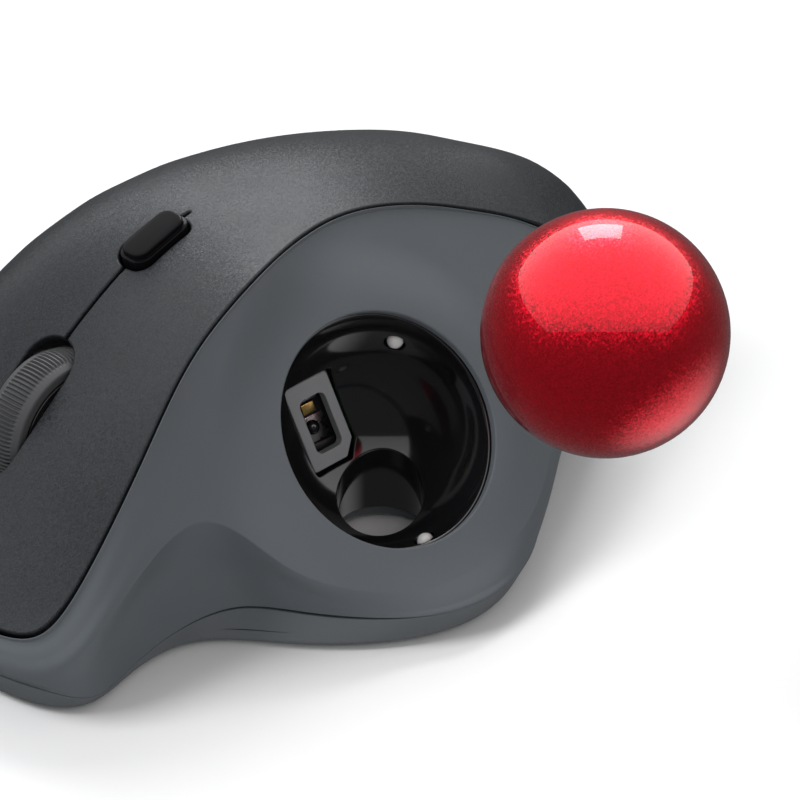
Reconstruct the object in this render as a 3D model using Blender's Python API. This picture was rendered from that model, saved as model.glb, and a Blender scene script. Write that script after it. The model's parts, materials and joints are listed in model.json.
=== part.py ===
"""Thumb-operated trackball mouse, modelled in millimetres and placed in metres, +Z up.

Layout frame: keys toward -Y, ball and thumb on the +X side, desk at Z = 0. Every piece is laid out in
that frame, and ORIGIN, the middle of the whole assembly's box at desk level, becomes the world origin.
"""

import math

import bpy
import numpy as np
from mathutils import Matrix, Vector

MM = 0.001
ORIGIN = np.array((22.15, 3.33, 0.0))  # middle of the assembly's box, on the desk
GAP = 0.3  # clearance between touching pieces

# Socket: its axis leaves the thumb side and points up and slightly forward
RIM_CENTRE = Vector((26.6, -0.6, 26.3))
SOCKET_AXIS = Vector((0.7827, -0.1111, 0.6125)).normalized()
OPENING_RADIUS = 17.5
LIP_RADIUS = 17.15
BALL_RADIUS = 17.0
BALL_CORE_RADIUS = 15.0
BALL_COAT_HOLLOW = 15.6
BALL_SEAT_DEPTH = 4.5  # ball centre below the rim plane
BALL_OUT = 61.75  # ball centre above the rim plane when the ball is drawn out
CUP_RADIUS = 17.9
CUP_OUTER = 19.2
SHELL_LIP = 1.2  # wall left round the opening
BALL_SEAT = RIM_CENTRE - SOCKET_AXIS * BALL_SEAT_DEPTH
BALL_DRAWN = RIM_CENTRE + SOCKET_AXIS * BALL_OUT
FACE_ALONG = Vector((0, 0, 1)).cross(SOCKET_AXIS).normalized()
FACE_UP = SOCKET_AXIS.cross(FACE_ALONG)
FLAT_INNER, FLAT_OUTER = 18.3, 29.5  # the face is flat round the opening, then follows the body
FLAT_DEPTH = 25.0  # points further than this below the face keep their place
EJECT_HOLE = (18.0, 6.0, 6.3)  # x, y and radius of the push-out hole
BEARING_RADIUS = 1.25
BEARING_TIP = 17.2
BEARING_TILT = math.radians(72)
BEARING_TURNS = tuple(math.radians(a) for a in (44, -74, 166))
SENSOR_DIRECTION = Vector((-0.9, 0.252, -0.355)).normalized()
SENSOR_TILT = -12.0  # degrees

SHELL_WALL = 1.8
COVER_WALL = 2.0
BASE_WALL = 1.5
BASE_FLOOR = 1.0  # underside of the base
FOOT_TOP = 0.7
SEAM_GAP = 0.5
KEY_TIP_GAP = 0.8  # gap before the tips of the keys, which travel
KEY_REACH = 62.0

WHEEL_CENTRE = (-9.0, -33.0, 25.6)
WHEEL_RADIUS = 12.0
HUB_RADIUS = 9.2
WHEEL_WIDTH = 7.0
SLOT_HALF = 4.3
SLOT_MIDDLE = -40.2
SLOT_LENGTH = 18.6
KEY_ROOT = -2.0  # Y of the line about which the keys flex
SLIT = 0.55
DPI_CENTRE = (-8.7, -13.4)
DPI_SIZE = (5.6, 11.0)
DPI_SWITCH_TOP = 41.4
BOARD_TOP = 9.0
LEFT_SWITCH = (6.0, -45.0)
RIGHT_SWITCH = (-24.0, -45.0)
SWITCH_TOP = BOARD_TOP + GAP + 5.4
TIP_RISE = 0.6  # switch plunger above its body
POST_GAP = 1.4  # from the switch body up to the key's post

DOOR_LOW, DOOR_HIGH = (-36.0, -16.0, -1.0), (-18.0, 42.0, 4.0)
SWITCH_LOW, SWITCH_HIGH = (2.0, -30.0), (6.5, -22.0)
PAIR_SPOT = (-8.0, -30.0)
LUG_LOW, LUG_TOP, LUG_RADIUS = 5.45, 10.0, 3.0
SCREW_COLUMNS = (1, 10, 16, 22)  # outline columns beside which the housing screws stand
SCREW_HEAD, SCREW_HEAD_TOP, SCREW_TOP, SCREW_RADIUS = 2.1, 2.2, 8.5, 1.0
BASE_MIDDLE = (-6.0, 4.0, BASE_FLOOR)
COVER_MIDDLE = (-12.0, 5.0)
COVER_RINGS = 8

# Body outline in columns, from the middle of the front round by the thumb side. Each column holds the
# seam under the top cover, the crease or edge of the side wall, the seam with the base, the foot of the
# base (x, y), how far the wall between foot and crease bulges, and how sharp the crease is.
COLUMNS = (
    ((-9, -64.6, 12.6), (-9, -64.8, 9.0), (-9, -63.6, 5.0), (-9, -62.0), 0.2, 0.0),
    ((6, -64.3, 12.7), (6.3, -64.7, 9.0), (6.5, -63.4, 5.0), (6.5, -61.6), 0.2, 0.0),
    ((16.8, -62.5, 13.8), (18.0, -62.6, 9.0), (17.0, -60.8, 4.6), (16.5, -59.6), 0.2, 0.0),
    ((19.6, -55.8, 19.3), (22.6, -56.8, 12.2), (21.6, -55.0, 2.8), (20.7, -54.2), -0.6, 0.3),
    ((18.6, -43.6, 31.8), (22.0, -46.8, 18.2), (19.7, -45.6, 2.7), (19.2, -45.4), -1.6, 0.6),
    ((15.6, -32.6, 40.6), (21.9, -35.4, 23.0), (18.6, -35.0, 3.8), (18.6, -36.0), -2.2, 1.0),
    ((13.2, -23.0, 45.8), (25.4, -27.8, 18.8), (21.8, -26.0, 5.0), (22.8, -28.8), -1.2, 0.9),
    ((11.2, -12.0, 49.4), (32.0, -21.6, 12.2), (30.6, -20.0, 5.0), (31.6, -21.8), -0.2, 0.8),
    ((8.6, -2.0, 50.2), (39.8, -9.6, 8.4), (41.0, -10.8, 5.0), (39.8, -12.0), 0.2, 1.0),
    ((7.0, 8.0, 50.0), (42.0, 1.2, 8.6), (45.0, 0.6, 5.0), (43.4, -0.2), 0.3, 1.0),
    ((7.6, 17.0, 48.8), (40.6, 12.2, 9.6), (42.2, 12.0, 5.0), (40.2, 11.4), 0.4, 1.0),
    ((8.2, 26.0, 45.8), (36.6, 21.8, 14.0), (36.0, 21.4, 5.0), (33.8, 20.4), 0.9, 0.5),
    ((8.9, 35.0, 41.7), (30.0, 31.6, 17.6), (28.4, 31.2, 5.0), (26.4, 29.8), 1.2, 0.0),
    ((10.0, 45.0, 36.3), (23.6, 43.0, 19.0), (21.0, 42.4, 5.0), (19.2, 40.8), 1.4, 0.0),
    ((11.6, 54.8, 30.0), (15.8, 55.6, 18.6), (13.4, 54.8, 5.0), (11.8, 52.8), 1.4, 0.0),
    ((7.0, 65.2, 25.4), (6.2, 66.6, 16.0), (4.6, 65.0, 5.0), (3.8, 62.6), 1.2, 0.0),
    ((-8, 69.2, 20.4), (-9.0, 71.2, 14.0), (-9, 69.6, 5.0), (-9, 67.2), 1.0, 0.0),
    ((-24, 64.6, 22.6), (-25.4, 66.8, 14.0), (-25.0, 65.2, 5.0), (-24, 62.8), 1.0, 0.0),
    ((-36, 54.6, 24.6), (-38.2, 56.2, 15.0), (-37.4, 55.0, 5.0), (-35.6, 53.2), 1.0, 0.0),
    ((-42.4, 38.0, 27.4), (-45.2, 39.0, 16.0), (-44.0, 38.6, 5.0), (-41.8, 37.6), 1.0, 0.0),
    ((-44.0, 18.0, 28.6), (-47.2, 18.0, 16.0), (-46.0, 18.0, 5.0), (-43.6, 18.0), 1.0, 0.0),
    ((-43.2, -3.0, 27.8), (-46.2, -3.0, 15.0), (-45.2, -3.0, 5.0), (-43.0, -3.0), 0.9, 0.0),
    ((-41.2, -24.0, 24.2), (-43.6, -24.0, 13.0), (-42.8, -24.0, 5.0), (-40.8, -24.0), 0.6, 0.0),
    ((-38.6, -43.0, 18.4), (-40.4, -43.0, 11.0), (-39.8, -43.0, 5.0), (-38.2, -42.6), 0.4, 0.0),
    ((-35.2, -57.0, 13.8), (-36.4, -57.4, 9.4), (-35.8, -57.0, 5.0), (-34.4, -55.8), 0.3, 0.0),
    ((-25.0, -63.7, 12.2), (-25.4, -64.0, 9.0), (-25.2, -62.9, 5.0), (-24.8, -61.2), 0.2, 0.0),
)
STEPS = 3  # mesh columns for each outline column
WALL_ROWS = 10

# Heights of the top cover along its middle and along the right flank, as (x, y, z)
SPINE = tuple((-9.0, y, z) for y, z in (
    (-58, 16.6), (-52, 21.0), (-45, 27.2), (-38, 33.0), (-32, 38.2), (-26, 42.4), (-19, 46.4),
    (-11, 49.4), (-3, 50.8), (6, 51.4), (14, 51.4), (22, 50.4), (31, 48.2), (40, 45.4), (49, 41.7),
    (57, 36.8), (64, 30.2)))
FLANK = tuple((-28.0, y, z) for y, z in (
    (-56, 15.6), (-44, 27.4), (-32, 37.6), (-20, 43.5), (-8, 46.2), (5, 46.4), (18, 44.6), (31, 41.4),
    (43, 37.2), (54, 32.0)))
SHOULDER = ((2.0, 49.0, 41.2), (2.0, 57.0, 37.2), (2.0, 63.5, 31.6))

COLOURS = {  # colour, roughness, metallic
    "satin_cover": ((0.045, 0.048, 0.053), 0.38, 0.35),
    "matte_shell": ((0.085, 0.092, 0.1), 0.55, 0.0),
    "base_plastic": ((0.03, 0.032, 0.034), 0.6, 0.0),
    "gloss_black": ((0.008, 0.008, 0.009), 0.08, 0.0),
    "rubber": ((0.018, 0.018, 0.02), 0.7, 0.0),
    "ball_red": ((0.55, 0.008, 0.03), 0.25, 0.5),
    "ball_clear": ((0.6, 0.02, 0.05), 0.03, 0.0),
    "steel": ((0.6, 0.6, 0.62), 0.25, 1.0),
    "ceramic": ((0.85, 0.84, 0.8), 0.2, 0.0),
    "board": ((0.02, 0.13, 0.05), 0.5, 0.0),
    "panel_grey": ((0.12, 0.125, 0.13), 0.5, 0.0),
    "gold": ((0.8, 0.55, 0.2), 0.25, 1.0),
    "lens_clear": ((0.75, 0.78, 0.8), 0.05, 0.0),
    "ptfe": ((0.75, 0.75, 0.73), 0.5, 0.0),
    "battery_wrap": ((0.12, 0.13, 0.15), 0.3, 0.2),
    "inner_white": ((0.7, 0.7, 0.68), 0.5, 0.0),
}


def material(name):
    """One Principled material for each finish, shared by the pieces that have it."""
    found = bpy.data.materials.get(name)
    if found:
        return found
    made = bpy.data.materials.new(name)
    made.use_nodes = True
    shader = made.node_tree.nodes["Principled BSDF"]
    colour, roughness, metallic = COLOURS[name]
    shader.inputs["Base Color"].default_value = (*colour, 1.0)
    shader.inputs["Roughness"].default_value = roughness
    shader.inputs["Metallic"].default_value = metallic
    return made


def piece(name, points, faces, finish, pivot=(0.0, 0.0, 0.0)):
    """An object from points in layout millimetres, with its origin at the pivot."""
    pivot = np.array(pivot, float)
    points = (np.array([tuple(p) for p in points], float) - pivot) * MM
    mesh = bpy.data.meshes.new(name)
    mesh.from_pydata(points.tolist(), [], [list(f) for f in faces])
    mesh.shade_smooth()
    mesh.set_sharp_from_angle(angle=math.radians(35))
    made = bpy.data.objects.new(name, mesh)
    made.location = Vector((pivot - ORIGIN) * MM)
    bpy.context.scene.collection.objects.link(made)
    if finish:
        mesh.materials.append(material(finish))
    else:
        made.hide_render = True
        made.display_type = "WIRE"
    return made


def boolean(target, operation, *tools):
    """EXACT Booleans, one for each tool."""
    for tool in tools:
        step = target.modifiers.new(operation.lower() + "_" + tool.name, "BOOLEAN")
        step.operation = operation
        step.solver = "EXACT"
        step.object = tool
    return target


# ---- outlines and solids ----

def ring_faces(rings, columns, closed_rows=False):
    """Quads between consecutive rings of points, each ring closed."""
    faces = []
    last = rings if closed_rows else rings - 1
    for r in range(last):
        for c in range(columns):
            d = (c + 1) % columns
            s = (r + 1) % rings
            faces.append((r * columns + c, r * columns + d, s * columns + d, s * columns + c))
    return faces


def frame_of(axis):
    """Two directions at right angles to an axis and to each other."""
    axis = Vector(axis).normalized()
    side = Vector((0, 0, 1)).cross(axis)
    side = side.normalized() if side.length > 1e-6 else Vector((1, 0, 0))
    return axis, side, axis.cross(side)


def lathe(name, profile, centre, axis, finish, segments=32, pivot=None):
    """Turns (radius, height) points round an axis. A zero radius closes on the axis."""
    axis, side, up = frame_of(axis)
    centre = Vector(centre)
    points, faces, rows = [], [], []
    for radius, height in profile:
        if radius < 1e-6:
            rows.append([len(points)] * segments)
            points.append(centre + axis * height)
            continue
        rows.append(list(range(len(points), len(points) + segments)))
        for k in range(segments):
            turn = 2 * math.pi * k / segments
            points.append(centre + axis * height
                          + (side * math.cos(turn) + up * math.sin(turn)) * radius)
    closed = profile[0][0] > 1e-6
    for a, b in zip(rows, rows[1:] + rows[:1] if closed else rows[1:]):
        for k in range(segments):
            j = (k + 1) % segments
            face = list(dict.fromkeys((a[k], a[j], b[j], b[k])))
            if len(face) > 2:
                faces.append(face)
    return piece(name, points, faces, finish, centre if pivot is None else pivot)


def cylinder(name, start, end, radius, finish, segments=24, pivot=None):
    start, end = Vector(start), Vector(end)
    length = (end - start).length
    profile = ((0, 0), (radius, 0), (radius, length), (0, length))
    return lathe(name, profile, start, end - start, finish, segments, pivot)


def box(name, low, high, finish, pivot=None, turn=None):
    """A box between two corners, turned by a matrix about its middle."""
    low, high = Vector(low), Vector(high)
    middle = (low + high) / 2
    turn = turn or Matrix.Identity(3)
    points = [turn @ (Vector((x, y, z)) - middle) + middle
              for x in (low.x, high.x) for y in (low.y, high.y) for z in (low.z, high.z)]
    faces = ((0, 1, 3, 2), (4, 6, 7, 5), (0, 4, 5, 1), (2, 3, 7, 6), (0, 2, 6, 4), (1, 5, 7, 3))
    return piece(name, points, faces, finish, middle if pivot is None else pivot)


def rounded_outline(width, length, radius, steps=5):
    """Counter-clockwise outline of a rectangle with round corners, about its middle."""
    outline = []
    for quarter, (sx, sy) in enumerate(((1, 1), (-1, 1), (-1, -1), (1, -1))):
        for k in range(steps + 1):
            turn = math.pi / 2 * (quarter + k / steps)
            outline.append((sx * (width / 2 - radius) + radius * math.cos(turn),
                            sy * (length / 2 - radius) + radius * math.sin(turn)))
    return outline


def prism(name, outline, heights, place, finish, pivot=None):
    """Outline layers (scale inset, height) placed by a function from (x, y, z)."""
    points = []
    for inset, height in heights:
        for x, y in outline:
            reach = math.hypot(x, y)
            shrink = (reach - inset) / reach
            points.append(place(x * shrink, y * shrink, height))
    n, layers = len(outline), len(heights)
    faces = ring_faces(layers, n)
    faces.append(list(range(n))[::-1])
    faces.append([(layers - 1) * n + k for k in range(n)])
    return piece(name, points, faces, finish, points[0] if pivot is None else pivot)


def sphere_profile(radius, rows, start=0.0, end=math.pi):
    """(radius, height) points up a sphere from angle start to end, measured from its foot."""
    turns = [start + (end - start) * k / rows for k in range(rows + 1)]
    return [(max(radius * math.sin(t), 0.0), -radius * math.cos(t)) for t in turns]


# ---- body surfaces ----

def closed_spline(knots, steps):
    """Smooth closed curve through the knots, with continuous curvature."""
    knots = np.array(knots, float)
    n = len(knots)
    system = 4 * np.eye(n) + np.roll(np.eye(n), 1, 0) + np.roll(np.eye(n), -1, 0)
    slopes = np.linalg.solve(system, 3 * (np.roll(knots, -1, 0) - np.roll(knots, 1, 0)))
    points = []
    for i in range(n):
        for k in range(steps):
            points.append(hermite(knots[i], knots[(i + 1) % n], slopes[i], slopes[(i + 1) % n], k / steps))
    return np.array(points)


def hermite(start, end, out, into, t):
    return ((2 * t**3 - 3 * t**2 + 1) * start + (t**3 - 2 * t**2 + t) * out
            + (3 * t**2 - 2 * t**3) * end + (t**3 - t**2) * into)


def open_spline(knots, at):
    """Smooth curve through the knots, read at positions from 0 to the last knot."""
    n = len(knots)
    system = 4 * np.eye(n) + np.eye(n, k=1) + np.eye(n, k=-1)
    system[0, 0] = system[-1, -1] = 2
    ahead = np.concatenate([knots[1:], knots[-1:]])
    behind = np.concatenate([knots[:1], knots[:-1]])
    slopes = np.linalg.solve(system, 3 * (ahead - behind))
    found = []
    for t in at:
        i = min(int(t), n - 2)
        found.append(hermite(knots[i], knots[i + 1], slopes[i], slopes[i + 1], t - i))
    return np.array(found)


def flattened(point, level=0.0):
    """Brings the face round the opening to a level plane, and leaves the rest of the body as it is."""
    offset = Vector(point) - RIM_CENTRE
    height = offset.dot(SOCKET_AXIS)
    reach = (offset - SOCKET_AXIS * height).length
    t = min(max((FLAT_OUTER - reach) / (FLAT_OUTER - FLAT_INNER), 0.0), 1.0)
    share = t * t * (3 - 2 * t) * min(max((height + FLAT_DEPTH) / 10, 0.0), 1.0)
    return np.array(point) + np.array(SOCKET_AXIS) * (level - height) * share


def seam_gap(y):
    """Gap between cover and shell, wider toward the tips of the keys so that they can travel."""
    return SEAM_GAP + (KEY_TIP_GAP - SEAM_GAP) * min(max((KEY_ROOT - y) / KEY_REACH, 0.0), 1.0)


def seam_mitre(spot, facing):
    """Direction and length, for a wall of 1, of the mitre between the cover and a wall that faces outward."""
    cover = np.array(cover_normal(spot[0], spot[1]))
    bisector = (cover + facing) / np.linalg.norm(cover + facing)
    return bisector / bisector.dot(cover)


def wall_facing(column, edge, seam):
    """Plan normal of the wall at its edge, and normal of the straight part between edge and seam."""
    along = edge[(column + 1) % len(edge)] - edge[column - 1]
    outward = np.array((along[1], -along[0], 0.0)) / math.hypot(along[0], along[1])
    facing = np.cross(along, seam[column] - edge[column])
    return outward, facing / np.linalg.norm(facing)


def wall_grids():
    """Rings of the side wall from the base seam up to the cover seam: outer surface, inner surface."""
    seam, edge, foot, _, bulge, sharp = zip(*COLUMNS)
    seam, edge, foot = (closed_spline(k, STEPS) for k in (seam, edge, foot))
    bulge = closed_spline([(b,) for b in bulge], STEPS)[:, 0]
    sharp = closed_spline([(s,) for s in sharp], STEPS)[:, 0].clip(0, 1)
    columns = len(seam)
    at = np.linspace(0, 5, WALL_ROWS + 1)
    outer, inner = (np.empty((WALL_ROWS + 1, columns, 3)) for _ in range(2))
    for c in range(columns):
        outward, facing = wall_facing(c, edge, seam)
        rise = seam[c] - edge[c]
        corner = (outward + facing) / np.linalg.norm(outward + facing)
        middle = (foot[c] + edge[c]) / 2 + outward * bulge[c]
        knots = np.array((foot[c], middle, edge[c], edge[c] + rise / 3, edge[c] + rise * 2 / 3, seam[c]))
        smooth = open_spline(knots, at)
        broken = np.concatenate([open_spline(knots[:3], at[at < 2]), open_spline(knots[2:], at[at >= 2] - 2)])
        inset = np.array((outward, outward, corner * 1.15, seam_mitre(seam[c], facing))) * SHELL_WALL
        straight = knots[[0, 1, 2, 5]] - inset
        lining = np.stack([np.interp(at, (0, 1, 2, 5), straight[:, axis]) for axis in range(3)], 1)
        for r in range(WALL_ROWS + 1):
            outer[r, c] = flattened(smooth[r] + (broken[r] - smooth[r]) * sharp[c])
            inner[r, c] = flattened(lining[r], -SHELL_WALL)
    return outer, inner


def skin(name, outer, inner, finish):
    """Closed solid between an outer and an inner wall grid."""
    rows, columns, _ = outer.shape
    points = np.concatenate([outer.reshape(-1, 3), inner[::-1].reshape(-1, 3)])
    return piece(name, points, ring_faces(2 * rows, columns, True), finish)


def thin_plate(knots):
    """Smooth height over the plan through every knot, as a function of (x, y)."""
    knots = np.array(knots, float)
    plan, heights = knots[:, :2] / 50, knots[:, 2]
    n = len(knots)

    def kernel(distance):
        return distance**2 * np.log(np.maximum(distance, 1e-9))

    system = np.zeros((n + 3, n + 3))
    system[:n, :n] = kernel(np.linalg.norm(plan[:, None] - plan[None], axis=2))
    system[:n, n] = system[n, :n] = 1
    system[:n, n + 1:] = plan
    system[n + 1:, :n] = plan.T
    weights = np.linalg.solve(system, np.concatenate([heights, np.zeros(3)]))

    def height(x, y):
        spot = np.array((x, y)) / 50
        near = kernel(np.linalg.norm(plan - spot, axis=1))
        return float(near @ weights[:n] + weights[n] + spot @ weights[n + 1:])

    return height


cover_height = thin_plate([column[0] for column in COLUMNS] + list(SPINE) + list(FLANK) + list(SHOULDER))


def cover_normal(x, y):
    step = 0.2
    slope_x = (cover_height(x + step, y) - cover_height(x - step, y)) / (2 * step)
    slope_y = (cover_height(x, y + step) - cover_height(x, y - step)) / (2 * step)
    return Vector((-slope_x, -slope_y, 1)).normalized()


def cover_rim():
    """Edge of the cover inside the seam, and the direction through its wall there."""
    seam, edge = (closed_spline([column[k] for column in COLUMNS], STEPS) for k in (0, 1))
    rim = []
    for c, spot in enumerate(seam):
        _, facing = wall_facing(c, edge, seam)
        mitre = seam_mitre(spot, facing)
        normal = np.array(cover_normal(spot[0], spot[1]))
        along = seam[(c + 1) % len(seam)] - seam[c - 1]
        inward = np.cross(normal, along)
        inward /= np.linalg.norm(inward)
        x, y, _ = spot + inward * seam_gap(spot[1]) * np.linalg.norm(mitre)
        rim.append(((x, y), mitre))
    return rim


def cover_blank(name, finish, pivot=(0, 0, 0)):
    """The whole top cover as a closed skin of even wall, ready to be cut into its pieces."""
    rim = cover_rim()
    middle = np.array(COVER_MIDDLE)
    top, under = [], []
    for ring in range(COVER_RINGS):
        for spot, mitre in rim:
            x, y = middle + (np.array(spot) - middle) * (1 - ring / COVER_RINGS)
            top.append(np.array((x, y, cover_height(x, y))))
            under.append(top[-1] - (mitre if ring == 0 else np.array(cover_normal(x, y))) * COVER_WALL)
    top.append(np.array((*middle, cover_height(*middle))))
    under.append(top[-1] - np.array(cover_normal(*middle)) * COVER_WALL)
    columns, count = len(rim), len(top)
    faces = ring_faces(COVER_RINGS, columns)
    last = (COVER_RINGS - 1) * columns
    faces += [(last + c, last + (c + 1) % columns, count - 1) for c in range(columns)]
    faces += [tuple(v + count for v in face[::-1]) for face in faces]
    faces += [(count + c, count + (c + 1) % columns, (c + 1) % columns, c) for c in range(columns)]
    return piece(name, top + under, faces, finish, pivot)


def main_shell():
    """Matte shell: the wall all round, with the round opening for the ball."""
    outer, inner = wall_grids()
    outer[0, :, 2] += SEAM_GAP
    inner[0, :, 2] = outer[0, :, 2]
    shell = skin("main_shell", outer, inner, "matte_shell")
    n = SOCKET_AXIS
    for number, spot in enumerate(screw_spots()):
        lug = cylinder(f"lug_{number + 1}", (*spot, LUG_LOW), (*spot, LUG_TOP), LUG_RADIUS, None, 16)
        boolean(shell, "UNION", lug)
    opening = cylinder("cut_opening", RIM_CENTRE - n * 6, RIM_CENTRE + n * 6, OPENING_RADIUS, None, 48)
    rebate = cylinder("cut_rebate", RIM_CENTRE - n * 9, RIM_CENTRE - n * SHELL_LIP, CUP_OUTER + 1.3, None, 48)
    boolean(shell, "DIFFERENCE", opening, rebate)
    for number, spot in enumerate(screw_spots()):
        bore = cylinder(f"cut_lug_{number + 1}", (*spot, 0), (*spot, SCREW_TOP + GAP), SCREW_RADIUS + GAP, None, 14)
        boolean(shell, "DIFFERENCE", bore)


def screw_spots():
    """Plan positions of the housing screws, a little way in from the wall."""
    spots = []
    for index in SCREW_COLUMNS:
        x, y, _ = COLUMNS[index][2]
        before, after = COLUMNS[index - 1][2], COLUMNS[index + 1][2]
        along = Vector((after[0] - before[0], after[1] - before[1], 0)).normalized()
        inward = Vector((0, 0, 1)).cross(along)
        spots.append((x + inward.x * (SHELL_WALL + 2.2), y + inward.y * (SHELL_WALL + 2.2)))
    return spots


def base_tray():
    """Base: a floor with a short wall up to the shell, and its holes."""
    foot = closed_spline([column[2] for column in COLUMNS], STEPS)
    floor = closed_spline([(*column[3], BASE_FLOOR) for column in COLUMNS], STEPS)
    columns = len(foot)
    along = np.roll(foot, -1, 0) - np.roll(foot, 1, 0)
    inward = np.stack([-along[:, 1], along[:, 0], np.zeros(columns)], 1)
    inset = inward / np.linalg.norm(inward, axis=1)[:, None] * BASE_WALL
    lift = np.array((0, 0, BASE_WALL))
    middle = np.array(BASE_MIDDLE)
    rings = [middle + (floor - middle) * share for share in (0.5, 0.9, 1.0)]
    rings += [(floor + foot) / 2, foot, foot + inset, floor + inset + lift]
    rings += [middle + (floor - middle) * share + lift for share in (0.9, 0.5)]
    points = np.concatenate(rings + [[middle], [middle + lift]])
    bottom, top, last = len(points) - 2, len(points) - 1, (len(rings) - 1) * columns
    faces = ring_faces(len(rings), columns)
    faces += [(bottom, (c + 1) % columns, c) for c in range(columns)]
    faces += [(top, last + c, last + (c + 1) % columns) for c in range(columns)]
    tray = piece("base_tray", points, faces, "base_plastic")
    x, y, radius = EJECT_HOLE
    cuts = [cylinder("cut_base_eject", (x, y, -2), (x, y, 8), radius + 1.2, None, 32),
            box("cut_base_door", DOOR_LOW, DOOR_HIGH, None),
            box("cut_base_switch", (*SWITCH_LOW, -1), (*SWITCH_HIGH, 4), None),
            cylinder("cut_base_pair", (*PAIR_SPOT, -1), (*PAIR_SPOT, 4), 2.3, None, 16)]
    for number, spot in enumerate(screw_spots()):
        boss = cylinder(f"boss_{number + 1}", (*spot, BASE_FLOOR + 0.5), (*spot, LUG_LOW - GAP), LUG_RADIUS - 0.4,
                        None, 16)
        boolean(tray, "UNION", boss)
        cuts.append(cylinder(f"cut_boss_{number + 1}", (*spot, -1), (*spot, 12), SCREW_RADIUS + GAP, None, 12))
        cuts.append(cylinder(f"cut_head_{number + 1}", (*spot, -1), (*spot, SCREW_HEAD_TOP + GAP),
                             SCREW_HEAD + GAP, None, 16))
    return boolean(tray, "DIFFERENCE", *cuts)


def keys_and_palm():
    """Top cover cut across at the key root and along the slit, with the wheel slot and DPI well."""
    x0 = WHEEL_CENTRE[0]
    far, top = 90.0, 70.0
    front_left = box("cut_left_half", (x0 + SLIT / 2, -far, -5), (far, KEY_ROOT - GAP / 2, top), None)
    front_right = box("cut_right_half", (-far, -far, -5), (x0 - SLIT / 2, KEY_ROOT - GAP / 2, top), None)
    rear = box("cut_rear_half", (-far, KEY_ROOT + GAP / 2, -5), (far, far, top), None)
    slot_outline = [(x + x0, y + SLOT_MIDDLE) for x, y in
                    rounded_outline(2 * SLOT_HALF, SLOT_LENGTH, SLOT_HALF - 0.1, 6)]
    slot = prism("cut_wheel_slot", slot_outline, ((0, 0.0), (0, top)), lambda x, y, z: (x, y, z), None)
    well = prism("cut_dpi_well", rounded_outline(DPI_SIZE[0] + 0.9, DPI_SIZE[1] + 0.9, 2.6),
                 ((0, -8.0), (0, 8.0)), dpi_place, None)
    wheel = Vector(WHEEL_CENTRE)
    reach = Vector((SLOT_HALF + 0.25, 0, 0))
    sweep = cylinder("cut_wheel_sweep", wheel - reach, wheel + reach, WHEEL_RADIUS + 0.5, None, 48)
    root = (0.0, KEY_ROOT, cover_height(x0, KEY_ROOT))
    left = cover_blank("left_key", "satin_cover", root)
    right = cover_blank("right_key", "satin_cover", root)
    palm = cover_blank("palm_cover", "satin_cover")
    boolean(left, "INTERSECT", front_left)
    boolean(right, "INTERSECT", front_right)
    boolean(palm, "INTERSECT", rear)
    for key, x in ((left, LEFT_SWITCH[0]), (right, RIGHT_SWITCH[0])):
        y = LEFT_SWITCH[1]
        reach = cover_height(x, y) - 1.0
        post = box("post_" + key.name, (x - 1.2, y - 1.2, SWITCH_TOP + POST_GAP), (x + 1.2, y + 1.2, reach), None)
        boolean(key, "DIFFERENCE", slot, well, sweep)
        boolean(key, "UNION", post)


def ball_cup():
    """Gloss cup: part of a sphere under a thin lip, bored for the push-out hole, bearings and sensor."""
    centre = BALL_SEAT
    top = BALL_SEAT_DEPTH - SHELL_LIP - GAP  # lip height above the ball centre
    inner = sphere_profile(CUP_RADIUS, 11, 0.0, math.pi - math.acos((top - 0.9) / CUP_RADIUS))
    outer = sphere_profile(CUP_OUTER, 8, 0.0, math.pi / 2)
    profile = outer + [(CUP_OUTER, top), (LIP_RADIUS, top), (LIP_RADIUS, top - 0.6)] + inner[::-1]
    cup = lathe("ball_cup", profile, centre, SOCKET_AXIS, "gloss_black", 48)
    x, y, radius = EJECT_HOLE
    cuts = [cylinder("cut_cup_eject", (x, y, -2), (x, y, 14), radius, None, 40)]
    for number, direction in enumerate(bearing_directions()):
        cuts.append(cylinder(f"cut_cup_bearing_{number + 1}", centre + direction * 14,
                             centre + direction * 24, BEARING_RADIUS + GAP, None, 16))
    low, high = (-4.1, -7.3, 14.0), (4.1, 7.3, 24.0)
    cuts.append(sensor_box("cut_cup_sensor", low, high, None))
    return boolean(cup, "DIFFERENCE", *cuts)


def bearing_directions():
    """Directions from the ball centre to the three supports."""
    found = []
    for turn in BEARING_TURNS:
        round_axis = FACE_ALONG * math.cos(turn) + FACE_UP * math.sin(turn)
        found.append(round_axis * math.sin(BEARING_TILT) - SOCKET_AXIS * math.cos(BEARING_TILT))
    return found


def sensor_turn():
    """Columns: across the sensor panel, up it, and outward from the ball."""
    axis = SENSOR_DIRECTION
    across = Vector((0, 0, 1)).cross(axis).normalized()
    up = axis.cross(across)
    tilt = Matrix.Rotation(math.radians(SENSOR_TILT), 3, axis)
    return Matrix((tilt @ across, tilt @ up, axis)).transposed()


def sensor_box(name, low, high, finish):
    """A box in the sensor's own directions, measured out from the ball centre."""
    turn = sensor_turn()
    low, high = Vector(low), Vector(high)
    middle = BALL_SEAT + turn @ ((low + high) / 2)
    half = (high - low) / 2
    return box(name, middle - half, middle + half, finish, None, turn)


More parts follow.
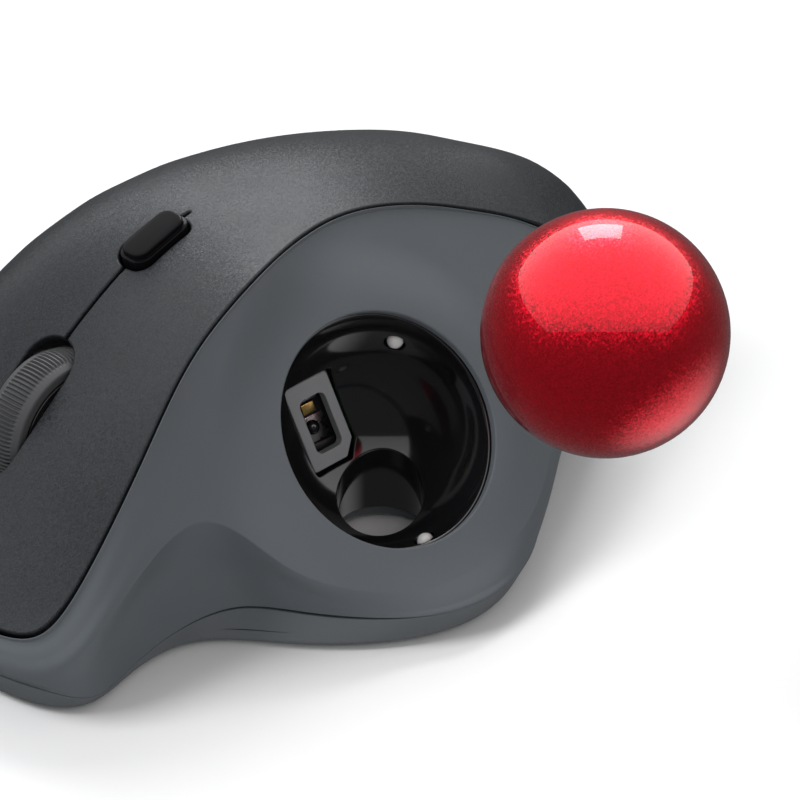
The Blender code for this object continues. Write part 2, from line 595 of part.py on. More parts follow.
def sensor_group():
    """Cover panel with its window, the lens and LED behind it, the chip and its board."""
    turn = sensor_turn()
    cover = sensor_box("sensor_cover", (-3.8, -7.0, 17.4), (3.8, 7.0, 19.2), "panel_grey")
    window = [(x, y) for x, y in rounded_outline(4.4, 8.6, 1.0)]
    cut = prism("cut_window", window, ((0, 16.0), (0, 21.0)),
                lambda x, y, z: BALL_SEAT + turn @ Vector((x, y, z)), None)
    boolean(cover, "DIFFERENCE", cut)
    lens_spot = BALL_SEAT + turn @ Vector((0.3, -0.9, 20.6))
    lathe("sensor_lens", sphere_profile(1.15, 8), lens_spot, SENSOR_DIRECTION, "lens_clear", 16)
    sensor_box("sensor_led", (-1.2, 1.3, 20.1), (1.0, 2.9, 21.4), "gold")
    sensor_box("sensor_chip", (-3.4, -4.0, 22.1), (3.4, 4.0, 23.3), "gloss_black")
    sensor_box("sensor_board", (-6.0, -6.5, 23.6), (6.0, 6.5, 24.8), "board")


def ball():
    """Red core inside a clear coat. The coat keeps the gate hole of its moulding on its roll axis."""
    lathe("ball_core", sphere_profile(BALL_CORE_RADIUS, 12), BALL_DRAWN, FACE_ALONG, "ball_red", 24)
    gate = 0.6
    outer = sphere_profile(BALL_RADIUS, 14, 0.0, math.pi - math.asin(gate / BALL_RADIUS))
    inner = sphere_profile(BALL_COAT_HOLLOW, 12, 0.0, math.pi - math.asin(gate / BALL_COAT_HOLLOW))
    lathe("ball_coat", outer + inner[::-1], BALL_DRAWN, FACE_ALONG, "ball_clear", 28)


def bearings():
    for number, direction in enumerate(bearing_directions()):
        spot = BALL_SEAT + direction * (BEARING_TIP + BEARING_RADIUS)
        lathe(f"ball_bearing_{number + 1}", sphere_profile(BEARING_RADIUS, 8), spot, direction, "ceramic", 12)


def wheel_group():
    """Tyre and hub turn on an axle, which lies in a sprung carrier."""
    centre = Vector(WHEEL_CENTRE)
    across = (1, 0, 0)
    half = WHEEL_WIDTH / 2
    crown = [(WHEEL_RADIUS - 1.3 * (x / half) ** 2, x) for x in (-half, -0.6 * half, 0, 0.6 * half, half)]
    inside = HUB_RADIUS + GAP
    lathe("wheel_tyre", [(inside, -half)] + crown + [(inside, half)], centre, across, "rubber", 48)
    hub = [(1.8, -half - 0.2), (HUB_RADIUS, -half - 0.2), (HUB_RADIUS, half + 0.2), (1.8, half + 0.2)]
    lathe("wheel_hub", hub, centre, across, "gloss_black", 40)
    reach = half + 4.0
    cylinder("wheel_axle", centre - Vector((reach, 0, 0)), centre + Vector((reach, 0, 0)), 1.4, "steel", 20,
             centre)
    floor = 11.2
    base_low = (centre.x - 7.6, centre.y - 4, floor)
    carrier = box("wheel_carrier", base_low, (centre.x + 7.6, centre.y + 4, floor + 1.6), "inner_white", centre)
    arms = []
    for side in (-1, 1):
        x = centre.x + side * 6.0
        arm = box(f"carrier_arm_{side + 2}", (x - 1.1, centre.y - 3, floor + 0.6),
                  (x + 1.1, centre.y + 3, centre.z + 2.6), None)
        arms.append(arm)
    bore = cylinder("cut_carrier_bore", centre - Vector((12, 0, 0)), centre + Vector((12, 0, 0)), 1.4 + GAP,
                    None, 20)
    boolean(carrier, "UNION", *arms)
    boolean(carrier, "DIFFERENCE", bore)


def dpi_place(x, y, z):
    """Layout point from across, along and above the cover at the button."""
    x0, y0 = DPI_CENTRE
    up = cover_normal(x0, y0)
    across = Vector((1, 0, 0))
    return Vector((x0, y0, cover_height(x0, y0))) + across * x + up.cross(across).normalized() * y + up * z


def dpi_button():
    """Gloss bar between the keys, following the fall of the cover, with a stem to its switch."""
    x0, y0 = DPI_CENTRE
    spot = dpi_place(0, 0, 0)
    heights = ((0, -2.0), (0, 0.7), (0.25, 1.15), (0.9, 1.4))
    button = prism("dpi_button", rounded_outline(*DPI_SIZE, 2.2), heights, dpi_place, "gloss_black", spot)
    stem = box("dpi_stem", (x0 - 1.2, y0 - 1.2, DPI_SWITCH_TOP + 0.9), (x0 + 1.2, y0 + 1.2, spot.z - 0.5), None)
    boolean(button, "UNION", stem)


def boards_and_switches():
    """Main board on the base, the switches standing on it and the DPI switch on its own bridge."""
    box("main_board", (-33.0, -54.5, BOARD_TOP - 1.6), (11.0, -18.0, BOARD_TOP), "board")
    floor = BOARD_TOP + GAP
    for name, (x, y) in (("left_switch", LEFT_SWITCH), ("right_switch", RIGHT_SWITCH)):
        body = box(name, (x - 3.1, y - 6.2, floor), (x + 3.1, y + 6.2, SWITCH_TOP), "gloss_black")
        plunger = box(name + "_tip", (x - 0.8, y - 0.9, SWITCH_TOP - 1), (x + 0.8, y + 0.9, SWITCH_TOP + TIP_RISE),
                      None)
        boolean(body, "UNION", plunger)
    x, y, _ = WHEEL_CENTRE
    box("middle_switch", (x - 3, y - 3, floor), (x + 3, y + 3, 10.3), "gloss_black")
    box("scroll_encoder", (x + 8.2, y - 5, floor), (x + 13.0, y + 5, 18.0), "inner_white")
    x, y = DPI_CENTRE
    box("dpi_board", (x - 6, y - 6, 36.6), (x + 6, y + 6, 37.8), "board")
    box("dpi_switch", (x - 3, y - 3, 37.8 + GAP), (x + 3, y + 3, DPI_SWITCH_TOP), "gloss_black")
    box("dpi_bridge", (x - 5, y - 3.6, BASE_FLOOR + BASE_WALL + GAP), (x + 5, y - 1, 36.6 - GAP), "inner_white")


def battery_group():
    """One AA cell in a cradle, its two contacts, and the sliding door under it."""
    x, z = -27.0, 11.4
    low, high = -11.0, 38.0
    profile = ((0, 0), (7.1, 0), (7.1, 48.0), (2.7, 48.0), (2.7, 49.0), (0, 49.0))
    lathe("battery_cell", profile, (x, low, z), (0, 1, 0), "battery_wrap", 28)
    cradle = box("battery_cradle", (x - 10.6, -17.6, BASE_FLOOR + BASE_WALL + GAP), (x + 10.6, 43.6, 20.6), "inner_white")
    hollow = cylinder("cut_cradle_cell", (x, low - 3.0, z), (x, high + 3.0, z), 7.6, None, 28)
    mouth = box("cut_cradle_mouth", (x - 7.6, low - 3.0, 0), (x + 7.6, high + 3.0, z), None)
    boolean(cradle, "DIFFERENCE", hollow, mouth)
    box("contact_plate", (x - 4, high + 1.4, z - 4), (x + 4, high + 1.9, z + 4), "steel")
    coil_contact((x, low - 0.7, z))
    box("battery_door", (DOOR_LOW[0] + GAP, DOOR_LOW[1] + GAP, BASE_FLOOR),
                (DOOR_HIGH[0] - GAP, DOOR_HIGH[1] - GAP, BASE_FLOOR + BASE_WALL), "base_plastic")


def coil_contact(tip):
    """Conical spring of round wire, wide at the cradle and narrow at the cell."""
    wire, turns, per_turn = 0.35, 2.5, 12
    count = int(turns * per_turn)
    points, faces, sides = [], [], 6
    for k in range(count + 1):
        share = k / count
        radius = 2.0 + 2.4 * share
        turn = 2 * math.pi * turns * share
        centre = Vector((tip[0] + radius * math.cos(turn), tip[1] - 1.6 * share, tip[2] + radius * math.sin(turn)))
        out = Vector((math.cos(turn), 0, math.sin(turn)))
        for s in range(sides):
            a = 2 * math.pi * s / sides
            points.append(centre + out * (wire * math.cos(a)) + Vector((0, wire * math.sin(a), 0)))
    faces = ring_faces(count + 1, sides)
    faces.append(list(range(sides))[::-1])
    faces.append([count * sides + s for s in range(sides)])
    piece("contact_spring", points, faces, "steel", tip)


def underside():
    """Glide feet, power slider, pairing button and the screws that hold base and shell together."""
    feet = (((-30, -52), 9, 5, "front_right"), ((10, -53), 9, 5, "front_left"),
            ((36, 0), 6, 12, "thumb_side"), ((-10, 59), 14, 5, "rear"))
    for (x, y), width, length, name in feet:
        outline = [(px + x, py + y) for px, py in rounded_outline(width, length, 2.2, 4)]
        points_low = [(px, py, 0.0) for px, py in outline]
        points_high = [(px, py, FOOT_TOP) for px, py in outline]
        n = len(outline)
        faces = ring_faces(2, n) + [list(range(n))[::-1], list(range(n, 2 * n))]
        piece("glide_foot_" + name, points_low + points_high, faces, "ptfe", (x, y, 0))
    low = (SWITCH_LOW[0] + 0.5, SWITCH_LOW[1] + 0.5, BASE_FLOOR - 0.2)
    high = (SWITCH_HIGH[0] - 0.5, SWITCH_LOW[1] + 4.5, BASE_FLOOR + 2.5)
    box("power_slider", low, high, "gloss_black")
    for number, (x, y) in enumerate(screw_spots()):
        profile = ((0, 0), (SCREW_HEAD, 0), (SCREW_HEAD, 1.2), (SCREW_RADIUS, 1.2),
                   (SCREW_RADIUS, SCREW_TOP - 1.0), (0, SCREW_TOP - 1.0))
        lathe(f"housing_screw_{number + 1}", profile, (x, y, 1.0), (0, 0, 1), "steel", 16)
    for number, (x, y) in enumerate(((-31.0, -21.0), (8.0, -21.0), (-31.0, -52.0))):
        profile = ((0, 0), (1.7, 0), (1.7, 1.1), (0, 1.1))
        lathe(f"board_screw_{number + 1}", profile, (x, y, BOARD_TOP + GAP), (0, 0, 1), "steel", 14)
    cylinder("pairing_button", (*PAIR_SPOT, BASE_FLOOR - 0.1), (*PAIR_SPOT, BASE_FLOOR + 3.0), 1.9,
             "gloss_black", 20)


def build():
    for old in list(bpy.data.objects):
        bpy.data.objects.remove(old, do_unlink=True)
    main_shell()
    base_tray()
    keys_and_palm()
    ball_cup()
    bearings()
    sensor_group()
    ball()
    wheel_group()
    dpi_button()
    boards_and_switches()
    battery_group()
    underside()


build()
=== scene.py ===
"""Detailed look of the thumb-trackball mouse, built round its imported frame.

Lengths are laid out in the part's own millimetres (keys toward -Y, ball on the +X side, desk at Z = 0)
and placed in metres by one offset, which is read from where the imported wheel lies.
"""

import json
import math

import bmesh
import bpy
import numpy as np
from mathutils import Vector
from mathutils.geometry import delaunay_2d_cdt
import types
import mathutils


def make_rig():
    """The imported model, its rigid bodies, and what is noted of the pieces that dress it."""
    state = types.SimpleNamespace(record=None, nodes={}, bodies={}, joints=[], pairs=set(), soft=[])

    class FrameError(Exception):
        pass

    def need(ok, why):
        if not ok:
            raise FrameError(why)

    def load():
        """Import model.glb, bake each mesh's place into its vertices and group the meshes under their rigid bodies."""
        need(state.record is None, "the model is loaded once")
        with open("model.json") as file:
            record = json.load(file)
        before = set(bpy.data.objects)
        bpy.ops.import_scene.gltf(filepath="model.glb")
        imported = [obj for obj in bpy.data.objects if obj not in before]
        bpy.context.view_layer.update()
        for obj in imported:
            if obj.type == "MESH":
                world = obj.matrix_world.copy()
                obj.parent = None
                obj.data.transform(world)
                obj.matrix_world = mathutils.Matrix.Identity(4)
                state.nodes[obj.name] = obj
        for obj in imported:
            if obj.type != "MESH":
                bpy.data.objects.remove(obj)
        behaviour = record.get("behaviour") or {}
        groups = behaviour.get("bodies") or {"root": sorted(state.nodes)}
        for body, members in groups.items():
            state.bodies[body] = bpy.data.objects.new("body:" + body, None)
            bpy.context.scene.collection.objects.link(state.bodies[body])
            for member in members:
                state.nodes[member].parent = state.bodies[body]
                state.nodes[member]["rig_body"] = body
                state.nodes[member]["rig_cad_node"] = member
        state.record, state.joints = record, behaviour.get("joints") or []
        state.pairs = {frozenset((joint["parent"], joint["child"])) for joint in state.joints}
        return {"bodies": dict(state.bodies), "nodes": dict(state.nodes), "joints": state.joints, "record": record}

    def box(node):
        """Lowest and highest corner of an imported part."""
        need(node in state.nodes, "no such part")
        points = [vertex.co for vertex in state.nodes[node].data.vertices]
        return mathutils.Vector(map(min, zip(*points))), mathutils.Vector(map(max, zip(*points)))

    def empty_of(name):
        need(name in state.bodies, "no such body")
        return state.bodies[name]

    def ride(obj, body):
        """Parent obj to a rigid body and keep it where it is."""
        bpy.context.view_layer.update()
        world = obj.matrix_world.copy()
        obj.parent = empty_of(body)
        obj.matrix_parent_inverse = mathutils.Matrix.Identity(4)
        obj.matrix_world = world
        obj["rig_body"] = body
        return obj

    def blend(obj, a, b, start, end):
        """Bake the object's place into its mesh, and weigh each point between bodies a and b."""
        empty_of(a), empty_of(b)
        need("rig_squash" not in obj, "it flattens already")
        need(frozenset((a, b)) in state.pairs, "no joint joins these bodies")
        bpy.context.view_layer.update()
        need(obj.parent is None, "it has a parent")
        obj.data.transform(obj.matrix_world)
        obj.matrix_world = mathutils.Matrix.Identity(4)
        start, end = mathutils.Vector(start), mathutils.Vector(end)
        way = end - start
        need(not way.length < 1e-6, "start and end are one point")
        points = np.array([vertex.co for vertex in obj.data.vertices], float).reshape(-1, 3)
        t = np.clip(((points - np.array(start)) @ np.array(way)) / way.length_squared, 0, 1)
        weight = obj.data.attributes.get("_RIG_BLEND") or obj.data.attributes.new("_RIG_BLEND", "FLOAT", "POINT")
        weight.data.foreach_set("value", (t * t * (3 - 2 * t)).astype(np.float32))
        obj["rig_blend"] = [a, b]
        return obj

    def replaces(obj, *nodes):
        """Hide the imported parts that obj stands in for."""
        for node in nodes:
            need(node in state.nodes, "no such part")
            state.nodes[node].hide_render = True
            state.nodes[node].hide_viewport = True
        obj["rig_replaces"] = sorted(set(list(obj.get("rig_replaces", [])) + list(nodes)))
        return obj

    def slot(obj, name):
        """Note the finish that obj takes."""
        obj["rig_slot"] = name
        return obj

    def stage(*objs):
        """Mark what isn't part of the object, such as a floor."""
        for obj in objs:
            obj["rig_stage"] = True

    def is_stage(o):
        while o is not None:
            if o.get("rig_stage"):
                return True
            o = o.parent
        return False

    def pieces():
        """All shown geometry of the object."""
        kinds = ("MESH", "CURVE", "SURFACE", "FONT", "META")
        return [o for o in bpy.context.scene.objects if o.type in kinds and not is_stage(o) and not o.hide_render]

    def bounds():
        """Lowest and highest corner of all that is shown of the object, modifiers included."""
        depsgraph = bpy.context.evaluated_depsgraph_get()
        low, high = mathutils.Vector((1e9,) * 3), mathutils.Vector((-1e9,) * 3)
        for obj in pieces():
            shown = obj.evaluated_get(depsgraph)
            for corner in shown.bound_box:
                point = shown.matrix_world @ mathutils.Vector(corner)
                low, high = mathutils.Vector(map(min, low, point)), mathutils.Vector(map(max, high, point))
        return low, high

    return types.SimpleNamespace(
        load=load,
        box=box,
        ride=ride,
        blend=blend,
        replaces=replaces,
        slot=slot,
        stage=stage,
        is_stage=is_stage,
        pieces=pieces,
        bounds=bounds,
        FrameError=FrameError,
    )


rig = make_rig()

for old in list(bpy.data.objects):
    bpy.data.objects.remove(old, do_unlink=True)

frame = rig.load()
CAD_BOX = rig.bounds()
NODES = frame["nodes"]

# ---- layout, in millimetres ----

MM = 0.001
WHEEL_CENTRE = np.array((-9.0, -33.0, 25.6))
_low, _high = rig.box("wheel_tyre")
ORIGIN = WHEEL_CENTRE - np.array((_low + _high) / 2) / MM

RIM_CENTRE = np.array((26.6, -0.6, 26.3))
SOCKET_AXIS = np.array((0.7827, -0.1111, 0.6125))
SOCKET_AXIS /= np.linalg.norm(SOCKET_AXIS)
FACE_ALONG = np.cross((0, 0, 1), SOCKET_AXIS)
FACE_ALONG /= np.linalg.norm(FACE_ALONG)
FACE_UP = np.cross(SOCKET_AXIS, FACE_ALONG)
OPENING_RADIUS, LIP_RADIUS, BALL_RADIUS = 17.5, 17.15, 17.0
BALL_SEAT_DEPTH = 4.5  # of the seated ball's centre under the socket's face
CUP_RADIUS, CUP_OUTER = 17.9, 19.2
SHELL_LIP = 1.2
BALL_SEAT = RIM_CENTRE - SOCKET_AXIS * BALL_SEAT_DEPTH
FLAT_INNER, FLAT_OUTER, FLAT_DEPTH, FLAT_FADE = 18.3, 29.5, 25.0, 10.0
EJECT_HOLE = (18.0, 6.0, 6.3)  # x, y, radius of the push-out hole
SEAM_GAP, KEY_TIP_GAP, KEY_REACH = 0.5, 0.8, 62.0
BASE_GAP, BASE_FLOOR = 0.32, 1.0
WHEEL_RADIUS, HUB_RADIUS, WHEEL_WIDTH = 12.0, 9.2, 7.0
SLOT_HALF, SLOT_MIDDLE, SLOT_LENGTH = 4.3, -40.2, 18.6
KEY_ROOT = -2.0
SLIT = 0.55
DPI_CENTRE = (-8.7, -13.4)
DPI_SIZE = (5.6, 11.0)

# Outline columns as in the part: seam, edge, foot, floor (x, y), bulge, sharpness of the crease
COLUMNS = (
    ((-9, -64.6, 12.6), (-9, -64.8, 9.0), (-9, -63.6, 5.0), (-9, -62.0), 0.2, 0.0),
    ((6, -64.3, 12.7), (6.3, -64.7, 9.0), (6.5, -63.4, 5.0), (6.5, -61.6), 0.2, 0.0),
    ((16.8, -62.5, 13.8), (18.0, -62.6, 9.0), (17.0, -60.8, 4.6), (16.5, -59.6), 0.2, 0.0),
    ((19.6, -55.8, 19.3), (22.6, -56.8, 12.2), (21.6, -55.0, 2.8), (20.7, -54.2), -0.6, 0.3),
    ((18.6, -43.6, 31.8), (22.0, -46.8, 18.2), (19.7, -45.6, 2.7), (19.2, -45.4), -1.6, 0.6),
    ((15.6, -32.6, 40.6), (21.9, -35.4, 23.0), (18.6, -35.0, 3.8), (18.6, -36.0), -2.2, 1.0),
    ((13.2, -23.0, 45.8), (25.4, -27.8, 18.8), (21.8, -26.0, 5.0), (22.8, -28.8), -1.2, 0.9),
    ((11.2, -12.0, 49.4), (32.0, -21.6, 12.2), (30.6, -20.0, 5.0), (31.6, -21.8), -0.2, 0.8),
    ((8.6, -2.0, 50.2), (39.8, -9.6, 8.4), (41.0, -10.8, 5.0), (39.8, -12.0), 0.2, 1.0),
    ((7.0, 8.0, 50.0), (42.0, 1.2, 8.6), (45.0, 0.6, 5.0), (43.4, -0.2), 0.3, 1.0),
    ((7.6, 17.0, 48.8), (40.6, 12.2, 9.6), (42.2, 12.0, 5.0), (40.2, 11.4), 0.4, 1.0),
    ((8.2, 26.0, 45.8), (36.6, 21.8, 14.0), (36.0, 21.4, 5.0), (33.8, 20.4), 0.9, 0.5),
    ((8.9, 35.0, 41.7), (30.0, 31.6, 17.6), (28.4, 31.2, 5.0), (26.4, 29.8), 1.2, 0.0),
    ((10.0, 45.0, 36.3), (23.6, 43.0, 19.0), (21.0, 42.4, 5.0), (19.2, 40.8), 1.4, 0.0),
    ((11.6, 54.8, 30.0), (15.8, 55.6, 18.6), (13.4, 54.8, 5.0), (11.8, 52.8), 1.4, 0.0),
    ((7.0, 65.2, 25.4), (6.2, 66.6, 16.0), (4.6, 65.0, 5.0), (3.8, 62.6), 1.2, 0.0),
    ((-8, 69.2, 20.4), (-9.0, 71.2, 14.0), (-9, 69.6, 5.0), (-9, 67.2), 1.0, 0.0),
    ((-24, 64.6, 22.6), (-25.4, 66.8, 14.0), (-25.0, 65.2, 5.0), (-24, 62.8), 1.0, 0.0),
    ((-36, 54.6, 24.6), (-38.2, 56.2, 15.0), (-37.4, 55.0, 5.0), (-35.6, 53.2), 1.0, 0.0),
    ((-42.4, 38.0, 27.4), (-45.2, 39.0, 16.0), (-44.0, 38.6, 5.0), (-41.8, 37.6), 1.0, 0.0),
    ((-44.0, 18.0, 28.6), (-47.2, 18.0, 16.0), (-46.0, 18.0, 5.0), (-43.6, 18.0), 1.0, 0.0),
    ((-43.2, -3.0, 27.8), (-46.2, -3.0, 15.0), (-45.2, -3.0, 5.0), (-43.0, -3.0), 0.9, 0.0),
    ((-41.2, -24.0, 24.2), (-43.6, -24.0, 13.0), (-42.8, -24.0, 5.0), (-40.8, -24.0), 0.6, 0.0),
    ((-38.6, -43.0, 18.4), (-40.4, -43.0, 11.0), (-39.8, -43.0, 5.0), (-38.2, -42.6), 0.4, 0.0),
    ((-35.2, -57.0, 13.8), (-36.4, -57.4, 9.4), (-35.8, -57.0, 5.0), (-34.4, -55.8), 0.3, 0.0),
    ((-25.0, -63.7, 12.2), (-25.4, -64.0, 9.0), (-25.2, -62.9, 5.0), (-24.8, -61.2), 0.2, 0.0),
)
# Knots of the cover's height, besides the seam: along the middle, along the far side, behind the socket
SPINE = tuple((-9.0, y, z) for y, z in (
    (-58, 16.6), (-52, 21.0), (-45, 27.2), (-38, 33.0), (-32, 38.2), (-26, 42.4), (-19, 46.4),
    (-11, 49.4), (-3, 50.8), (6, 51.4), (14, 51.4), (22, 50.4), (31, 48.2), (40, 45.4), (49, 41.7),
    (57, 36.8), (64, 30.2)))
FLANK = tuple((-28.0, y, z) for y, z in (
    (-56, 15.6), (-44, 27.4), (-32, 37.6), (-20, 43.5), (-8, 46.2), (5, 46.4), (18, 44.6), (31, 41.4),
    (43, 37.2), (54, 32.0)))
SHOULDER = ((2.0, 49.0, 41.2), (2.0, 57.0, 37.2), (2.0, 63.5, 31.6))
COUNT = len(COLUMNS)


def unit(v):
    v = np.asarray(v, float)
    return v / np.maximum(np.linalg.norm(v, axis=-1, keepdims=True), 1e-12)


def sideways(along):
    """Level direction to the right of each direction."""
    return unit(np.stack([along[:, 1], -along[:, 0], np.zeros(len(along))], 1))


def smoothstep(t):
    t = np.clip(t, 0, 1)
    return t * t * (3 - 2 * t)


def socket_reach(points):
    """Height of points over the socket's face, and their distance from its axis."""
    offset = points - RIM_CENTRE
    height = offset @ SOCKET_AXIS
    return height, np.linalg.norm(offset - height[:, None] * SOCKET_AXIS, axis=1)


# ---- splines ----

class ClosedSpline:
    """Smooth closed curve through knots, read at any position in knots."""

    def __init__(self, knots):
        self.knots = np.array(knots, float).reshape(len(knots), -1)
        n = self.n = len(self.knots)
        system = 4 * np.eye(n) + np.roll(np.eye(n), 1, 0) + np.roll(np.eye(n), -1, 0)
        self.slopes = np.linalg.solve(system, 3 * (np.roll(self.knots, -1, 0) - np.roll(self.knots, 1, 0)))

    def __call__(self, u):
        u = np.asarray(u, float) % self.n
        i = np.minimum(u.astype(int), self.n - 1)
        t = (u - i)[..., None]
        j = (i + 1) % self.n
        return hermite(self.knots[i], self.knots[j], self.slopes[i], self.slopes[j], t)


def hermite(start, end, out, into, t):
    return ((2 * t**3 - 3 * t**2 + 1) * start + (t**3 - 2 * t**2 + t) * out
            + (3 * t**2 - 2 * t**3) * end + (t**3 - t**2) * into)


def open_spline(knots, at):
    """Smooth curve for each row of knots (rows, knots, 3), read at one position for each row."""
    n = knots.shape[1]
    system = 4 * np.eye(n) + np.eye(n, k=1) + np.eye(n, k=-1)
    system[0, 0] = system[-1, -1] = 2
    ahead = np.concatenate([knots[:, 1:], knots[:, -1:]], 1)
    behind = np.concatenate([knots[:, :1], knots[:, :-1]], 1)
    slopes = np.einsum("ij,rjk->rik", np.linalg.inv(system), 3 * (ahead - behind))
    i = np.clip(at.astype(int), 0, n - 2)
    rows = np.arange(len(at))
    start, end, out, into = knots[rows, i], knots[rows, i + 1], slopes[rows, i], slopes[rows, i + 1]
    return hermite(start, end, out, into, (at - i)[:, None])


SEAM, EDGE, FOOT = (ClosedSpline([c[k] for c in COLUMNS]) for k in (0, 1, 2))
FLOOR = ClosedSpline([(*c[3], BASE_FLOOR) for c in COLUMNS])
BULGE, SHARP = (ClosedSpline([(c[k],) for c in COLUMNS]) for k in (4, 5))


def thin_plate(knots):
    """Smooth height over the plan through every knot, for arrays of x and y."""
    knots = np.array(knots, float)
    plan, heights = knots[:, :2] / 50, knots[:, 2]
    n = len(knots)

    def kernel(distance):
        return distance**2 * np.log(np.maximum(distance, 1e-9))

    system = np.zeros((n + 3, n + 3))
    system[:n, :n] = kernel(np.linalg.norm(plan[:, None] - plan[None], axis=2))
    system[:n, n] = system[n, :n] = 1
    system[:n, n + 1:] = plan
    system[n + 1:, :n] = plan.T
    weights = np.linalg.solve(system, np.concatenate([heights, np.zeros(3)]))

    def height(x, y):
        spot = np.stack(np.broadcast_arrays(x, y), -1) / 50.0
        near = kernel(np.linalg.norm(spot[..., None, :] - plan, axis=-1))
        return near @ weights[:n] + weights[n] + spot @ weights[n + 1:]

    return height


cover_height = thin_plate([c[0] for c in COLUMNS] + list(SPINE) + list(FLANK) + list(SHOULDER))


def cover_normal(x, y, step=0.2):
    x, y = np.asarray(x, float), np.asarray(y, float)
    slope_x = (cover_height(x + step, y) - cover_height(x - step, y)) / (2 * step)
    slope_y = (cover_height(x, y + step) - cover_height(x, y - step)) / (2 * step)
    return unit(np.stack([-slope_x, -slope_y, np.ones_like(slope_x)], -1))


def cover_point(plan):
    plan = np.asarray(plan, float)
    return np.concatenate([plan, cover_height(plan[..., 0], plan[..., 1])[..., None]], -1)


# ---- side wall ----

STEP_HEIGHT, STEP_LOW = 0.85, 0.4  # riser between the wall and the cover
WALL_SPAN, RISER_START, FOOT_FADE = 5.0, 3.2, 0.6  # along v


def step_height(u):
    """The riser is full along the thumb side and the front, and low at the back of the flank."""
    u = np.asarray(u, float) % COUNT
    back = smoothstep((u - 10.0) / 3.0) * (1 - smoothstep((u - 22.0) / 3.0))
    return STEP_HEIGHT - (STEP_HEIGHT - STEP_LOW) * back


def wall_point(u, v):
    """Outer surface of the side wall: u round the body in columns, v from the base (0) to the cover (5)."""
    u, v = (np.atleast_1d(a).astype(float) for a in (u, v))
    seam, edge, foot = SEAM(u), EDGE(u), FOOT(u)
    bulge, sharp = BULGE(u)[:, 0], np.clip(SHARP(u)[:, 0], 0, 1)
    along = EDGE(u + 1 / 3) - EDGE(u - 1 / 3)
    middle = (foot + edge) / 2 + sideways(along) * bulge[:, None]
    rise = seam - edge
    knots = np.stack([foot, middle, edge, edge + rise / 3, edge + rise * 2 / 3, seam], 1)
    smooth = open_spline(knots, v)
    low = open_spline(knots[:, :3], np.minimum(v, 2.0))
    high = open_spline(knots[:, 2:], np.maximum(v - 2.0, 0.0))
    broken = np.where((v < 2.0)[:, None], low, high)
    point = smooth + (broken - smooth) * sharp[:, None]
    height, reach = socket_reach(point)
    share = smoothstep((FLAT_OUTER - reach) / (FLAT_OUTER - FLAT_INNER))
    share *= np.clip((height + FLAT_DEPTH) / FLAT_FADE, 0, 1)
    point = point - SOCKET_AXIS * (height * share)[:, None]
    drop = step_height(u) * smoothstep((v - RISER_START) / (WALL_SPAN - RISER_START))
    point = point - cover_normal(seam[:, 0], seam[:, 1]) * drop[:, None]
    point[:, 2] += BASE_GAP * (1 - smoothstep(v / FOOT_FADE))
    return point


def wall_normal(u, v, step=0.004):
    across = wall_point(u + step, v) - wall_point(u - step, v)
    low, high = np.maximum(v - step, 0), np.minimum(v + step, WALL_SPAN)
    up = wall_point(u, high) - wall_point(u, low)
    return unit(np.cross(across, up))


def wall_place(target, start):
    """(u, v) at which the flat face round the socket passes points given along and up the face."""
    found = np.array(start, float)
    for _ in range(12):
        here = wall_point(found[:, 0], found[:, 1]) - RIM_CENTRE
        miss = target - np.stack([here @ FACE_ALONG, here @ FACE_UP], 1)
        if np.abs(miss).max() < 1e-5:
            break
        h = 1e-3
        jac = np.empty((len(found), 2, 2))
        for k, (du, dv) in enumerate(((h, 0), (0, h))):
            there = wall_point(found[:, 0] + du, found[:, 1] + dv) - RIM_CENTRE
            jac[:, 0, k] = (there - here) @ FACE_ALONG / h
            jac[:, 1, k] = (there - here) @ FACE_UP / h
        found += np.linalg.solve(jac, miss[:, :, None])[:, :, 0]
        found[:, 1] = np.clip(found[:, 1], 0.05, WALL_SPAN - 0.05)
    return found


# ---- meshes ----

def world(points):
    return (np.asarray(points, float) - ORIGIN) * MM


def free_piece(name, points, faces):
    """A mesh from layout millimetres, with no finish and no body."""
    mesh = bpy.data.meshes.new(name)
    mesh.from_pydata(world(points).tolist(), [], [list(map(int, f)) for f in faces])
    made = bpy.data.objects.new(name, mesh)
    bpy.context.scene.collection.objects.link(made)
    return made


def shade(mesh, sharp=None):
    """Smooth shading, with hard edges past an angle in degrees if one is given."""
    mesh.shade_smooth()
    if sharp is not None:
        mesh.set_sharp_from_angle(angle=math.radians(sharp))


def add_piece(name, points, faces, finish, body, replaced=(), normals=None, sharp=None, slot=None):
    """A mesh piece from layout millimetres, riding on a body. body None leaves it free for a blend."""
    made = free_piece(name, points, faces)
    mesh = made.data
    shade(mesh, sharp)
    if normals is not None:
        mesh.normals_split_custom_set_from_vertices(np.asarray(normals, float).tolist())
    mesh.materials.append(finish)
    if body:
        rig.ride(made, body)
    if replaced:
        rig.replaces(made, *replaced)
    if slot:
        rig.slot(made, slot)
    return made


def join_loops(loops):
    """Where each loop's points start when the loops are put end to end, and the edges that close each."""
    starts = np.cumsum([0] + [len(loop) for loop in loops])
    edges = [(s + k, s + (k + 1) % len(loop)) for s, loop in zip(starts, loops) for k in range(len(loop))]
    return starts, edges


def between(spots, outer, holes):
    """Which spots lie inside an outer loop and outside every hole."""
    found = inside(spots, outer)
    for hole in holes:
        found &= ~inside(spots, hole)
    return found


